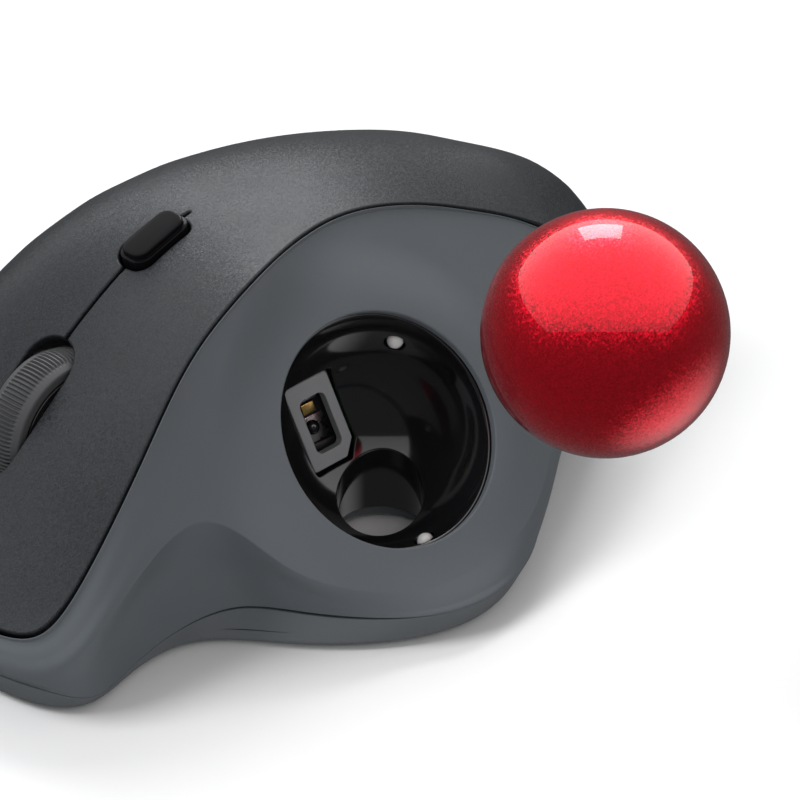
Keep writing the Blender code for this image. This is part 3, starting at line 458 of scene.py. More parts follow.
def triangulate(plan, edges, keep):
    """Triangles over plan points that respect the edges; keep says which centres stay."""
    _, _, faces, origins, _, _ = delaunay_2d_cdt([Vector(p) for p in plan], edges, [], 0, 1e-7, True)
    assert all(origins), "a loop crosses itself"
    faces = np.array([[origins[i][0] for i in f] for f in faces])
    corners = plan[faces]
    stay = keep(corners.mean(1))
    faces, corners = faces[stay], corners[stay]
    first, second = corners[:, 1] - corners[:, 0], corners[:, 2] - corners[:, 0]
    turn = first[:, 0] * second[:, 1] - first[:, 1] * second[:, 0]
    faces[turn < 0] = faces[turn < 0][:, ::-1]
    return faces[np.abs(turn) > 1e-12]


def inside(spots, loop):
    """Which spots lie inside a closed polyline."""
    spots, loop = np.asarray(spots, float), np.asarray(loop, float)
    x, y = spots[:, 0][:, None], spots[:, 1][:, None]
    x0, y0 = loop[:, 0][None], loop[:, 1][None]
    x1, y1 = np.roll(loop[:, 0], -1)[None], np.roll(loop[:, 1], -1)[None]
    crosses = (y0 > y) != (y1 > y)
    with np.errstate(divide="ignore", invalid="ignore"):
        at = x0 + (y - y0) * (x1 - x0) / (y1 - y0)
    return (crosses & (x < at)).sum(1) % 2 == 1


def distance_to(spots, loop):
    spots, loop = np.asarray(spots, float), np.asarray(loop, float)
    return np.sqrt(((spots[:, None] - loop[None]) ** 2).sum(2)).min(1)


def resample(path, spacing, closed=False):
    """Points evenly along a polyline, keeping its ends."""
    path = np.asarray(path, float)
    if closed:
        path = np.concatenate([path, path[:1]])
    steps = np.linalg.norm(np.diff(path, axis=0), axis=1)
    total = np.concatenate([[0], np.cumsum(steps)])
    count = max(int(round(total[-1] / spacing)), 1)
    at = np.linspace(0, total[-1], count + 1)
    out = np.stack([np.interp(at, total, path[:, k]) for k in range(path.shape[1])], 1)
    return out[:-1] if closed else out


class Sheet:
    """A skin, an inner skin behind it and edges between the two, as points, normals and faces."""

    def __init__(self, points, normals, faces, wall):
        self.base, self.out = np.asarray(points, float), unit(normals)
        self.points, self.normals = [self.base], [self.out]
        self.faces = [list(f) for f in faces]
        self.total = len(points)
        self.inner = self.add(self.base - self.out * np.reshape(wall, (-1, 1)), -self.out)
        self.faces += [[self.inner + i for i in f[::-1]] for f in faces]

    def add(self, points, normals):
        start = self.total
        self.points.append(np.asarray(points, float))
        self.normals.append(np.broadcast_to(unit(normals), self.points[-1].shape))
        self.total += len(points)
        return start

    def strip(self, first, second, closed):
        """Quads between two rows of vertex numbers. The first row is walked with the skin on its left."""
        for k in range(len(first) if closed else len(first) - 1):
            j = (k + 1) % len(first)
            self.faces.append([first[j], first[k], second[k], second[j]])

    def outward(self, loop, closed):
        """Direction off the skin at each point of a loop that has the skin on its left."""
        p = self.base[loop]
        ahead, behind = np.roll(p, -1, 0) - p, p - np.roll(p, 1, 0)
        if not closed:
            ahead[-1], behind[0] = behind[-1], ahead[0]
        return unit(np.cross(unit(unit(ahead) + unit(behind)), self.out[loop]))

    def skirt(self, loop, groups, closed=True, joined=True):
        """Rows of (points, normals) from a loop of the skin to the inner skin. Each group is smooth."""
        loop = np.asarray(loop)
        row = loop if joined else None
        for group in groups:
            for points, normals in group:
                start = self.add(points, normals)
                fresh = np.arange(start, self.total)
                if row is not None:
                    self.strip(row, fresh, closed)
                row = fresh
            row = None
        self.strip(fresh, self.inner + loop, closed)

    def round_edge(self, loop, radius, depth, closed=True, out=None):
        loop = np.asarray(loop)
        t = self.outward(loop, closed) if out is None else out
        self.skirt(loop, round_rows(self.base[loop], self.out[loop], t, radius, depth), closed)

    def plain_edge(self, loop):
        """A flat wall between the skins, along an open run."""
        t = self.outward(loop, False)
        top = np.arange(self.add(self.base[loop], t), self.total)
        low = np.arange(self.add(self.points[1][loop], t), self.total)
        self.strip(top, low, False)

    def make(self, name, finish, body, **more):
        return add_piece(name, np.concatenate(self.points), self.faces, finish, body,
                         normals=np.concatenate(self.normals), **more)


# ---- edges of the skins ----

ROUND_STEPS = 4


def round_rows(p, n, t, radius, depth):
    """Rows that round a skin over and go down to a depth, then the same row facing back."""
    rows = []
    for k in range(1, ROUND_STEPS + 1):
        a = math.pi / 2 * k / ROUND_STEPS
        across, down = radius * math.sin(a), radius * (1 - math.cos(a))
        rows.append((p + t * across - n * down, n * math.cos(a) + t * math.sin(a)))
    low = p + t * radius - n * depth
    return [rows + [(low, t)], [(low, -n)]]


# ---- finishes ----

class Finish:
    """Builds one procedural material from texture nodes in the piece's own coordinates."""

    def __init__(self, name):
        self.made = bpy.data.materials.new(name)
        self.made.use_nodes = True
        self.tree = self.made.node_tree
        self.shader = self.tree.nodes["Principled BSDF"]
        self.where = self.node("TexCoord").outputs["Object"]

    def node(self, kind, values=(), **settings):
        """A node of a kind, with constant values by input and settings by name."""
        made = self.tree.nodes.new("ShaderNode" + kind)
        for key, value in settings.items():
            setattr(made, key, value)
        for key, value in dict(values).items():
            made.inputs[key].default_value = value
        return made

    def link(self, source, target):
        self.tree.links.new(source, target)

    def set(self, **values):
        for key, value in values.items():
            self.shader.inputs[key.replace("_", " ")].default_value = value

    def noise(self, scale, detail=3.0, rough=0.55):
        """Noise with features of about 1 / scale millimetres."""
        made = self.node("TexNoise", {"Scale": scale / MM, "Detail": detail, "Roughness": rough})
        self.link(self.where, made.inputs["Vector"])
        return made.outputs["Fac"]

    def cells(self, scale):
        made = self.node("TexVoronoi", {"Scale": scale / MM})
        self.link(self.where, made.inputs["Vector"])
        return made

    def spread(self, source, low, high, start=0.3, end=0.7):
        """Maps a texture to a range of values."""
        made = self.node("MapRange", {"From Min": start, "From Max": end, "To Min": low, "To Max": high})
        self.link(source, made.inputs["Value"])
        return made.outputs["Result"]

    def blend(self, share, first, second):
        """Colour between two, by a texture."""
        made = self.node("Mix", {6: (*first, 1), 7: (*second, 1)}, data_type="RGBA")
        self.link(share, made.inputs[0])
        return made.outputs[2]

    def bump(self, source, height, strength=1.0, under=None):
        """Relief of a height in millimetres."""
        made = self.node("Bump", {"Strength": strength, "Distance": height * MM})
        self.link(source, made.inputs["Height"])
        if under is not None:
            self.link(under, made.inputs["Normal"])
        return made.outputs["Normal"]

    def colour(self, source):
        self.link(source, self.shader.inputs["Base Color"])

    def roughness(self, source):
        self.link(source, self.shader.inputs["Roughness"])

    def relief(self, source):
        self.link(source, self.shader.inputs["Normal"])

    def flakes(self, scale, channel, dark, light, tilt):
        """Random flakes: one channel of their colours sets the brightness, and all three tilt the surface."""
        cells = self.cells(scale)
        split = self.node("SeparateColor")
        self.link(cells.outputs["Color"], split.inputs["Color"])
        self.colour(self.blend(self.spread(split.outputs[channel], 0, 1, 0.0, 1.0), dark, light))
        shift = self.node("VectorMath", {1: (0.5, 0.5, 0.5)}, operation="SUBTRACT")
        turn = self.node("VectorMath", {"Scale": tilt}, operation="SCALE")
        tilted = self.node("VectorMath", operation="ADD")
        whole = self.node("VectorMath", operation="NORMALIZE")
        self.link(cells.outputs["Color"], shift.inputs[0])
        self.link(shift.outputs[0], turn.inputs[0])
        self.link(turn.outputs[0], tilted.inputs[0])
        self.link(self.node("NewGeometry").outputs["Normal"], tilted.inputs[1])
        self.link(tilted.outputs[0], whole.inputs[0])
        self.relief(whole.outputs[0])


def plastic(name, colour, tint, rough, grain, relief, spread=0.06, marks=0.02, coat=0.0, shine=0.5):
    """Moulded plastic: a fine grain in relief, and slow drifts of colour and roughness."""
    f = Finish(name)
    f.colour(f.blend(f.spread(f.noise(marks), 0, 1), colour, tint))
    f.roughness(f.spread(f.noise(marks * 3), rough - spread, rough + spread))
    fine = f.bump(f.noise(grain, 2.0), relief)
    f.relief(f.bump(f.noise(grain * 0.12, 1.0), relief * 0.8, under=fine))
    if coat:
        f.set(Coat_Weight=coat, Coat_Roughness=0.08)
    f.set(Specular_IOR_Level=shine)
    return f.made


def cover_paint():
    """Satin metallic paint: fine flakes, each turned its own way and of its own brightness."""
    f = Finish("cover_paint")
    f.flakes(6.5, 0, (0.009, 0.0105, 0.0125), (0.027, 0.030, 0.034), 0.28)
    f.roughness(f.spread(f.noise(0.05), 0.44, 0.5))
    f.set(Metallic=0.5, Coat_Weight=0.06, Coat_Roughness=0.35, Specular_IOR_Level=0.3)
    return f.made


def ball_paint():
    """Pearl red with fine flakes under a clear, glossy coat."""
    f = Finish("ball_paint")
    f.flakes(4.5, 1, (0.62, 0.001, 0.010), (0.85, 0.003, 0.024), 0.2)
    f.roughness(f.spread(f.noise(0.08), 0.26, 0.32))
    f.set(Metallic=0.9, Coat_Weight=0.7, Coat_Roughness=0.03, Coat_IOR=1.45)
    return f.made


def metal(name, colour, rough=0.3, grain=0.6):
    """Metal with faint darker patches and a fine brushed grain."""
    f = Finish(name)
    f.colour(f.blend(f.spread(f.noise(0.3), 0, 1), colour, tuple(c * 0.75 for c in colour)))
    f.roughness(f.spread(f.noise(grain * 2), rough - 0.08, rough + 0.08))
    f.relief(f.bump(f.noise(grain * 4), 0.01, 0.6))
    f.set(Metallic=1.0)
    return f.made


def circuit():
    """Green board with paler tracks and pads."""
    f = Finish("circuit_board")
    tracks = f.spread(f.cells(0.45).outputs["Distance"], 0, 1, 0.35, 0.5)
    f.colour(f.blend(tracks, (0.012, 0.10, 0.035), (0.03, 0.19, 0.06)))
    f.roughness(f.spread(f.noise(0.5), 0.35, 0.5))
    f.relief(f.bump(f.noise(2.0), 0.03, 0.7))
    return f.made


COVER = cover_paint()
BALL_RED = ball_paint()
SHELL = plastic("shell_soft_touch", (0.082, 0.092, 0.102), (0.090, 0.101, 0.111), 0.55, 4.5, 0.012,
                shine=0.25)
BASE = plastic("base_textured", (0.078, 0.085, 0.092), (0.09, 0.098, 0.105), 0.6, 3.0, 0.03, shine=0.25)
GLOSS = plastic("gloss_black", (0.006, 0.006, 0.007), (0.009, 0.009, 0.010), 0.09, 2.0, 0.0006, 0.03, 0.05,
                coat=0.5)
# A shaded copy of the gloss black for the button. Its darker colour and very weak reflection paint in the shade of the
# dark surroundings that the button's flat top reflects.
BUTTON_BLACK_SHADED = plastic("button_black", (0.003, 0.003, 0.0035), (0.005, 0.005, 0.006), 0.1, 2.0, 0.0006,
                       0.03, 0.05, shine=0.06)
RUBBER = plastic("tyre_rubber", (0.034, 0.035, 0.037), (0.044, 0.045, 0.047), 0.62, 5.0, 0.012)
PANEL = plastic("panel_grey", (0.26, 0.27, 0.28), (0.29, 0.30, 0.31), 0.5, 4.0, 0.012)
CERAMIC = plastic("bearing_ceramic", (0.80, 0.80, 0.78), (0.62, 0.62, 0.62), 0.2, 3.0, 0.004)
NYLON = plastic("nylon_white", (0.66, 0.66, 0.64), (0.58, 0.58, 0.56), 0.5, 3.0, 0.015)
PTFE = plastic("foot_ptfe", (0.62, 0.62, 0.60), (0.5, 0.5, 0.48), 0.45, 1.5, 0.03)
WRAP = plastic("battery_wrap", (0.10, 0.11, 0.13), (0.14, 0.15, 0.17), 0.3, 1.0, 0.01, coat=0.4)
DARK = plastic("dark_plastic", (0.010, 0.010, 0.011), (0.016, 0.016, 0.017), 0.45, 3.0, 0.01)
LENS = plastic("lens_black", (0.004, 0.004, 0.005), (0.006, 0.006, 0.008), 0.03, 1.0, 0.0002, 0.01, 0.1,
               coat=1.0)
STEEL = metal("steel", (0.62, 0.62, 0.63))
GOLD = metal("gold_contact", (0.85, 0.58, 0.2))
BOARD = circuit()


# ---- top cover: two keys and the palm piece in one surface ----

X0 = WHEEL_CENTRE[0]
RIM_ROUND, CUT_ROUND, COVER_WALL = 0.4, 0.32, 1.2
GRID, GRID_CLEAR = 1.25, 0.6
HALF_CUT = SLIT / 2 + CUT_ROUND
SLIT_END = -6.2
RIM_STEP = 1 / 12
KEY_BEND = 12  # length over which a key's skin bends
WELL_GAP = 0.9


def rounded_rectangle(width, length, radius, steps=7, most=None):
    """Counter-clockwise outline about the origin, with its sides split to a length if one is given."""
    outline = []
    for quarter, (sx, sy) in enumerate(((1, 1), (-1, 1), (-1, -1), (1, -1))):
        for k in range(steps + 1):
            turn = math.pi / 2 * (quarter + k / steps)
            outline.append((sx * (width / 2 - radius) + radius * math.cos(turn),
                            sy * (length / 2 - radius) + radius * math.sin(turn)))
    return resample_long(np.array(outline), most) if most else np.array(outline)


def resample_long(outline, most):
    """Splits the long sides of a closed outline."""
    out = []
    for a, b in zip(outline, np.roll(outline, -1, 0)):
        pieces = max(int(math.ceil(np.linalg.norm(b - a) / most)), 1)
        out += [a + (b - a) * k / pieces for k in range(pieces)]
    return np.array(out)


def dpi_place(x, y, z):
    """Layout points from across, along and above the cover at the button."""
    spot = cover_point(DPI_CENTRE)
    up = cover_normal(*DPI_CENTRE)
    across = np.array((1.0, 0.0, 0.0))
    along = unit(np.cross(up, across))
    x, y, z = (np.asarray(a, float)[..., None] for a in np.broadcast_arrays(x, y, z))
    return spot + across * x + along * y + up * z


def with_out(plan, first=None, last=None):
    """A path on the cover, as plan positions and the direction to its right. Its ends may be turned."""
    p = cover_point(plan)
    ahead, behind = np.diff(p, axis=0, append=p[-1:]), np.diff(p, axis=0, prepend=p[:1])
    ahead[-1], behind[0] = behind[-1], ahead[0]
    along = unit(unit(ahead) + unit(behind))
    if first is not None:
        along[0] = first
    if last is not None:
        along[-1] = last
    return np.concatenate([plan, unit(np.cross(along, cover_normal(plan[:, 0], plan[:, 1])))], 1)


def run_where(path, value):
    """The one run of a closed path on which the value is above zero, with its ends at zero."""
    n = len(path)
    start = next(i for i in range(n) if value[i] > 0 >= value[i - 1])
    run = [start]
    while value[(run[-1] + 1) % n] > 0:
        run.append((run[-1] + 1) % n)

    def crossing(i, j):
        return path[i] + (path[j] - path[i]) * value[i] / (value[i] - value[j])

    return np.array([crossing(start, (start - 1) % n), *path[run], crossing(run[-1], (run[-1] + 1) % n)])


def seam_frame(u):
    """The seam of wall and cover at columns u, with the directions off the cover and in from the wall."""
    seam = SEAM(u)
    up = cover_normal(seam[:, 0], seam[:, 1])
    return seam, up, unit(np.cross(up, SEAM(u + 0.02) - SEAM(u - 0.02)))


def cover_rim():
    """The whole edge of the cover, a gap in from the seam that widens toward the tips of the keys."""
    seam, _, inward = seam_frame(np.arange(0, COUNT, RIM_STEP))
    share = np.clip((KEY_ROOT - seam[:, 1]) / KEY_REACH, 0, 1)
    gap = SEAM_GAP + (KEY_TIP_GAP - SEAM_GAP) * share
    plan = (seam + inward * (gap + RIM_ROUND)[:, None])[:, :2]
    return with_out(np.concatenate([plan[-1:], plan, plan[:1]]))[1:-1]


def cut_path(side, front):
    """Edge of the slit, button well and wheel slot on one side, from the end of the slit to the front."""
    limit = X0 + side * HALF_CUT
    grow = WELL_GAP + 2 * CUT_ROUND
    well = rounded_rectangle(DPI_SIZE[0] + grow, DPI_SIZE[1] + grow, 2.6 + CUT_ROUND, most=1.0)
    well = dpi_place(well[:, 0], well[:, 1], 0.0)[:, :2]
    half = SLOT_HALF + CUT_ROUND
    slot = rounded_rectangle(2 * half, SLOT_LENGTH + 2 * CUT_ROUND, half - 0.1, most=1.0) + (X0, SLOT_MIDDLE)
    turns = np.linspace(math.pi / 2, 0, 7)
    pieces = [np.stack([X0 + side * HALF_CUT * np.cos(turns), SLIT_END + HALF_CUT * np.sin(turns)], 1)]
    for outline in (well, slot):
        run = run_where(outline, side * (outline[:, 0] - limit))
        if run[0, 1] < run[-1, 1]:
            run = run[::-1]
        pieces.append(resample(np.array([pieces[-1][-1], run[0]]), 1.0)[1:-1])
        pieces.append(run)
    pieces.append(resample(np.array([pieces[-1][-1], front]), 1.0)[1:-1])
    return np.concatenate(pieces)


def cover_piece(rounded, plain):
    """A region of the cover between a rounded run of its edge and a plain run that meets its neighbour."""
    plan = np.concatenate([rounded[:, :2], plain[1:-1, :2]])
    xs, ys = (np.arange(low, high, GRID) for low, high in zip(plan.min(0), plan.max(0)))
    grid = np.array([(x + (j % 2) * GRID / 2, y) for j, y in enumerate(ys) for x in xs])
    grid = grid[inside(grid, plan)]
    grid = grid[distance_to(grid, plan) > GRID_CLEAR]
    spots = np.concatenate([plan, grid])
    faces = triangulate(spots, join_loops([plan])[1], lambda c: inside(c, plan))
    sheet = Sheet(cover_point(spots), cover_normal(spots[:, 0], spots[:, 1]), faces, COVER_WALL)
    count = len(rounded)
    sheet.round_edge(np.arange(count), RIM_ROUND, COVER_WALL, closed=False, out=rounded[:, 2:])
    sheet.plain_edge(np.concatenate([np.arange(count - 1, len(plan)), [0]]))
    return sheet


def top_cover():
    """Two keys and the palm piece, cut along the slit in the middle and across the roots of the keys."""
    rim = cover_rim()
    root = KEY_ROOT
    left = run_where(rim, np.minimum(root - rim[:, 1], rim[:, 0] - X0 - HALF_CUT))
    right = run_where(rim, np.minimum(root - rim[:, 1], X0 - HALF_CUT - rim[:, 0]))
    palm = run_where(rim, rim[:, 1] - root)
    left[-1, 1] = right[0, 1] = palm[0, 1] = palm[-1, 1] = root
    junction = resample(np.array([(X0, root), (X0, SLIT_END + HALF_CUT)]), 1.0)
    thumb_half = resample(np.array([left[-1, :2], (X0, root)]), 1.2)
    far_half = resample(np.array([(X0, root), right[0, :2]]), 1.2)
    forward = np.array((1.0, 0.0, 0.0))
    cut = with_out(cut_path(1, left[0, :2]), first=forward)
    rounded = np.concatenate([cut, left])
    rounded[len(cut), 2:] = unit(cut[-1, 2:] + left[1, 2:])
    cover_piece(rounded, np.concatenate([thumb_half, junction[1:]])).make(
        "key_left_cover", COVER, None, replaced=["left_key"], slot="satin_cover")
    cut = with_out(cut_path(-1, right[-1, :2])[::-1], last=forward)
    rounded = np.concatenate([right, cut])
    rounded[len(right) - 1, 2:] = unit(cut[0, 2:] + right[-2, 2:])
    cover_piece(rounded, np.concatenate([junction[::-1], far_half[1:]])).make(
        "key_right_cover", COVER, None, replaced=["right_key"], slot="satin_cover")
    cover_piece(palm, np.concatenate([far_half[::-1], thumb_half[::-1][1:]])).make(
        "palm_cover_skin", COVER, "housing", replaced=["palm_cover"], slot="satin_cover")
    start, end = (world((X0, y, 0)).tolist() for y in (root, root - KEY_BEND))
    for name in ("left", "right"):
        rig.blend(bpy.data.objects[f"key_{name}_cover"], "housing", f"{name}_key", start, end)


# ---- shell ----

SHELL_WALL, RIDGE_DEPTH = 1.6, 2.3
SHELL_FOOT_ROUND, OPEN_ROUND = 0.2, 0.3
SHELL_ROWS = 12  # between two columns
OPEN_CLEAR, FAR_SIDE = 0.55, 12.0  # what lies deeper than FAR_SIDE isn't part of the socket's face


def merge_columns(spots):
    """Joins the last column to the first: numbers by (u, v), spots to keep, and every spot's new number."""
    index, keep = {}, []
    merge = np.empty(len(spots), int)
    for k, (u, v) in enumerate(spots):
        key = (round(u % COUNT, 6), round(v, 6))
        if key not in index:
            index[key] = len(keep)
            keep.append(k)
        merge[k] = index[key]
    return index, keep, merge


def shell_grid():
    """(u, v) over the side wall, finer where it may be creased."""
    us = np.arange(COUNT * SHELL_ROWS + 1) / SHELL_ROWS
    vs = np.concatenate([np.linspace(0, 1.9, 13), (1.97, 2.0, 2.03), np.linspace(2.1, 4.9, 22), (WALL_SPAN,)])
    return us, np.array([(u, v) for v in vs for u in us])


def main_shell():
    """The wall all round, its riser under the cover and the round opening for the ball."""
    scale = np.array((13.0, 8.0))  # rough millimetres for each unit of u and v
    us, grid = shell_grid()
    points = wall_point(grid[:, 0], grid[:, 1])
    height, reach = socket_reach(points)
    radius = OPENING_RADIUS + OPEN_ROUND
    clear = (reach > radius + OPEN_CLEAR) | (height < -FAR_SIDE)
    turns = -np.arange(128) * 2 * math.pi / 128
    target = radius * np.stack([np.cos(turns), np.sin(turns)], 1)
    near = RIM_CENTRE + target[:, :1] * FACE_ALONG + target[:, 1:] * FACE_UP
    start = grid[((near[:, None] - points[None]) ** 2).sum(2).argmin(1)]
    hole = wall_place(target, start)
    spots = np.concatenate([hole, grid[clear]])
    n = len(hole)
    faces = triangulate(spots * scale, join_loops([hole])[1], lambda c: ~inside(c, hole * scale))
    index, keep, merge = merge_columns(spots)
    u, v = spots[keep].T
    sheet = Sheet(wall_point(u, v), wall_normal(u, v), merge[faces], SHELL_WALL)
    sheet.round_edge(merge[:n], OPEN_ROUND, SHELL_LIP)
    bottom, top = (np.array([index[(round(u % COUNT, 6), v)] for u in us[:-1]]) for v in (0.0, WALL_SPAN))
    sheet.round_edge(bottom, SHELL_FOOT_ROUND, SHELL_WALL)
    sheet.skirt(top[::-1], shell_ridge(us[:-1][::-1], sheet.base[top[::-1]]), joined=False)
    sheet.make("shell_skin", SHELL, "housing", replaced=["main_shell"], slot="matte_shell")


def shell_ridge(u, base):
    """The riser's top edge beside the cover, and its far side down behind the cover."""
    seam, up, inward = seam_frame(u)

    def row(down, across, facing):
        return seam - up * down + inward * across, facing

    ridge = [(base, -inward), row(0.25, 0.0, -inward), row(0.18, 0.02, up - inward), row(0.15, 0.07, up),
             row(0.18, 0.12, up + inward), row(0.25, 0.14, inward), row(RIDGE_DEPTH, 0.14, inward)]
    return [ridge, [row(RIDGE_DEPTH, 0.14, -up)]]


# ---- base ----

BASE_WALL, BASE_EDGE = 1.5, 0.9
BASE_TOP_ROUND, HOLE_ROUND = 0.2, 0.25
BASE_CREASE = 35  # degrees
BASE_GRID, BASE_GRID_CLEAR = 3.0, 1.2
DOWN = np.array((0.0, 0.0, -1.0))
SCREWS = ((6.07, -59.42), (38.53, 10.41), (-9.03, 65.6), (-38.84, -23.46))
DOOR_LOW, DOOR_HIGH, DOOR_GAP = (-36.0, -16.0), (-18.0, 42.0), 0.3
SWITCH_LOW, SWITCH_HIGH = (2.0, -30.0), (6.5, -22.0)
PAIR_SPOT = (-8.0, -30.0)


def bend(start, corner, end, t):
    """Point at t on the curve that leaves start toward a corner and comes to the end from it."""
    return start * (1 - t) ** 2 + corner * 2 * t * (1 - t) + end * t * t


def circle(centre, radius, count):
    turns = np.arange(count) * 2 * math.pi / count
    return np.array(centre) + radius * np.stack([np.cos(turns), np.sin(turns)], 1)


def rectangle(low, high, radius, grow):
    """Rounded outline between two corners, grown by a margin on every side."""
    low, high = np.array(low) - grow, np.array(high) + grow
    return rounded_rectangle(*(high - low), radius, 4) + (low + high) / 2


def floor_plate(outer):
    """Flat sheet of the floor with its holes, and the numbers of the points of each of its loops."""
    holes = [circle(EJECT_HOLE[:2], EJECT_HOLE[2] + 1.2 + HOLE_ROUND, 72),
             rectangle(DOOR_LOW, DOOR_HIGH, 1.0, HOLE_ROUND),
             rectangle(SWITCH_LOW, SWITCH_HIGH, 0.8, HOLE_ROUND),
             circle(PAIR_SPOT, 2.3 + HOLE_ROUND, 36)]
    plan = np.concatenate([outer] + holes)
    xs, ys = (np.arange(low, high, BASE_GRID) for low, high in zip(plan.min(0), plan.max(0)))
    grid = np.array([(x, y) for y in ys for x in xs])
    keep = between(grid, outer, holes) & (distance_to(grid, plan) > BASE_GRID_CLEAR)
    spots = np.concatenate([plan, grid[keep]])
    starts, edges = join_loops([outer] + holes)
    faces = triangulate(spots, edges, lambda c: between(c, outer, holes))[:, ::-1]
    points = np.concatenate([spots, np.full((len(spots), 1), BASE_FLOOR)], 1)
    sheet = Sheet(points, np.tile(DOWN, (len(points), 1)), faces, BASE_WALL)
    return sheet, [np.arange(*ends) for ends in zip(starts, starts[1:])]


def base_side(floor, foot, along, out):
    """Rows from the floor's edge up the low side, over its top and down its inner face."""
    rise = unit(foot - floor)
    face = unit(np.cross(along, rise))
    rows = []
    for t in np.arange(1, 7) / 6:
        spot = bend(floor - out * BASE_EDGE, floor, floor + rise * BASE_EDGE, t)
        rows.append((spot, DOWN * (1 - t) + face * t))
    top = foot - rise * BASE_TOP_ROUND
    rows.append((top, face))
    rows += round_rows(top, face, rise, BASE_TOP_ROUND, 0)[0][:-1]
    inset = foot - out * BASE_WALL
    rows.append((inset, rise))
    return [rows, [(inset, -out), (floor - out * BASE_WALL + (0, 0, BASE_WALL), -out)]]


def base_tray():
    """Floor plate with its holes, and the low wall that rises from its edge to the shell."""
    u = np.arange(0, COUNT, 1 / 10)[::-1]
    floor, foot = FLOOR(u), FOOT(u)
    along = FOOT(u + 0.05) - FOOT(u - 0.05)
    out = sideways(along)
    sheet, (outer, *holes) = floor_plate((floor - out * BASE_EDGE)[:, :2])
    sheet.skirt(outer, base_side(floor, foot, along, out))
    for hole in holes:
        sheet.round_edge(hole, HOLE_ROUND, BASE_WALL)
    made = add_piece("base_skin", np.concatenate(sheet.points), sheet.faces, BASE, "housing", ["base_tray"],
                     slot="base_plastic")
    profile = [(0, 0), (2.4, 0), (2.4, 2.6), (0, 2.6)]
    pockets = [turned(f"pocket_{k}", profile, (x, y, 0), (0, 0, 1), DARK, None, 40)
               for k, (x, y) in enumerate(SCREWS)]
    carve(made, pockets, "MANIFOLD")
    shade(made.data, BASE_CREASE)


# ---- turned and stacked pieces ----

def turned(name, profile, centre, axis, finish, body, segments, sharp=30, extra=None, **more):
    """Turns (radius, height) points round an axis into a solid; extra(turn, row) adds to the radius."""
    axis = unit(axis)
    side = np.cross((0, 0, 1), axis)
    side = unit(side) if np.linalg.norm(side) > 1e-6 else np.array((1.0, 0, 0))
    up = np.cross(axis, side)
    turns = np.arange(segments) * 2 * math.pi / segments
    points, faces, rows = [], [], []
    total = 0
    for number, (radius, height) in enumerate(profile):
        if radius < 1e-6:
            points.append((np.array(centre) + axis * height)[None])
            rows.append([total] * segments)
            total += 1
            continue
        reach = radius + (extra(turns, number) if extra else 0.0) * np.ones(segments)
        points.append(np.array(centre) + axis * height + reach[:, None] * (
            side * np.cos(turns)[:, None] + up * np.sin(turns)[:, None]))
        rows.append(list(range(total, total + segments)))
        total += segments
    closed = profile[0][0] > 1e-6
    for a, b in zip(rows, rows[1:] + rows[:1] if closed else rows[1:]):
        for k in range(segments):
            j = (k + 1) % segments
            face = list(dict.fromkeys((a[k], a[j], b[j], b[k])))
            if len(face) > 2:
                faces.append(face)
    return add_piece(name, np.concatenate(points), faces, finish, body, sharp=sharp, **more)


def stacked(name, outline, layers, place, finish, body, sharp=30, **more):
    """Layers of one outline, given as outline(inset) at heights, closed at both ends."""
    points, faces = [], []
    n = len(outline(0.0))
    for inset, height in layers:
        plan = outline(inset)
        points.append(place(plan[:, 0], plan[:, 1], np.full(n, height)))
    for r in range(len(layers) - 1):
        for k in range(n):
            j = (k + 1) % n
            faces.append((r * n + k, r * n + j, (r + 1) * n + j, (r + 1) * n + k))
    faces.append(list(range(n))[::-1])
    faces.append([(len(layers) - 1) * n + k for k in range(n)])
    return add_piece(name, np.concatenate(points), faces, finish, body, sharp=sharp, **more)


def flat_place(x, y, z):
    return np.stack([x, y, z], 1)


def rounding(inset, height, radius, steps=4):
    """(inset, height) layers that round an edge over toward the middle."""
    return [(inset + radius * (1 - math.cos(a)), height + radius * math.sin(a))
            for a in (math.pi / 2 * k / steps for k in range(steps + 1))]


def weld(made):
    """Joins the points that a sheet doubles along its hard edges, which leaves a closed mesh."""
    mesh = bmesh.new()
    mesh.from_mesh(made.data)
    bmesh.ops.remove_doubles(mesh, verts=mesh.verts, dist=1e-6)
    mesh.to_mesh(made.data)
    mesh.free()


def carve(made, tools, solver="EXACT"):
    """Cuts pieces out of another, and removes them."""
    weld(made)
    for tool in tools:
        step = made.modifiers.new("step", "BOOLEAN")
        step.operation, step.solver, step.object = "DIFFERENCE", solver, tool
    graph = bpy.context.evaluated_depsgraph_get()
    result = bpy.data.meshes.new_from_object(made.evaluated_get(graph))
    made.modifiers.clear()
    made.data = result
    for tool in tools:
        bpy.data.objects.remove(tool, do_unlink=True)


def block(name, low, high, finish, body, turn=None, centre=(0, 0, 0), edge=0.25, **more):
    """A box with bevelled edges between two corners, turned by columns about a centre."""
    low, high = np.array(low, float), np.array(high, float)
    size, middle = high - low, (low + high) / 2
    edge = min(edge, size.min() * 0.3)
    turn = np.eye(3) if turn is None else turn

    def place(x, y, z):
        return np.array(centre) + (np.stack([x, y, z], 1) + middle) @ turn.T

    def outline(inset):
        return rounded_rectangle(size[0] - 2 * inset, size[1] - 2 * inset, max(edge * 1.2 - inset, 0.02), 3)

    half = size[2] / 2
    layers = [(edge, -half), (edge * 0.3, -half + edge * 0.3), (0, -half + edge), (0, half - edge),
              (edge * 0.3, half - edge * 0.3), (edge, half)]
    return stacked(name, outline, layers, place, finish, body, **more)


# ---- ball and socket ----

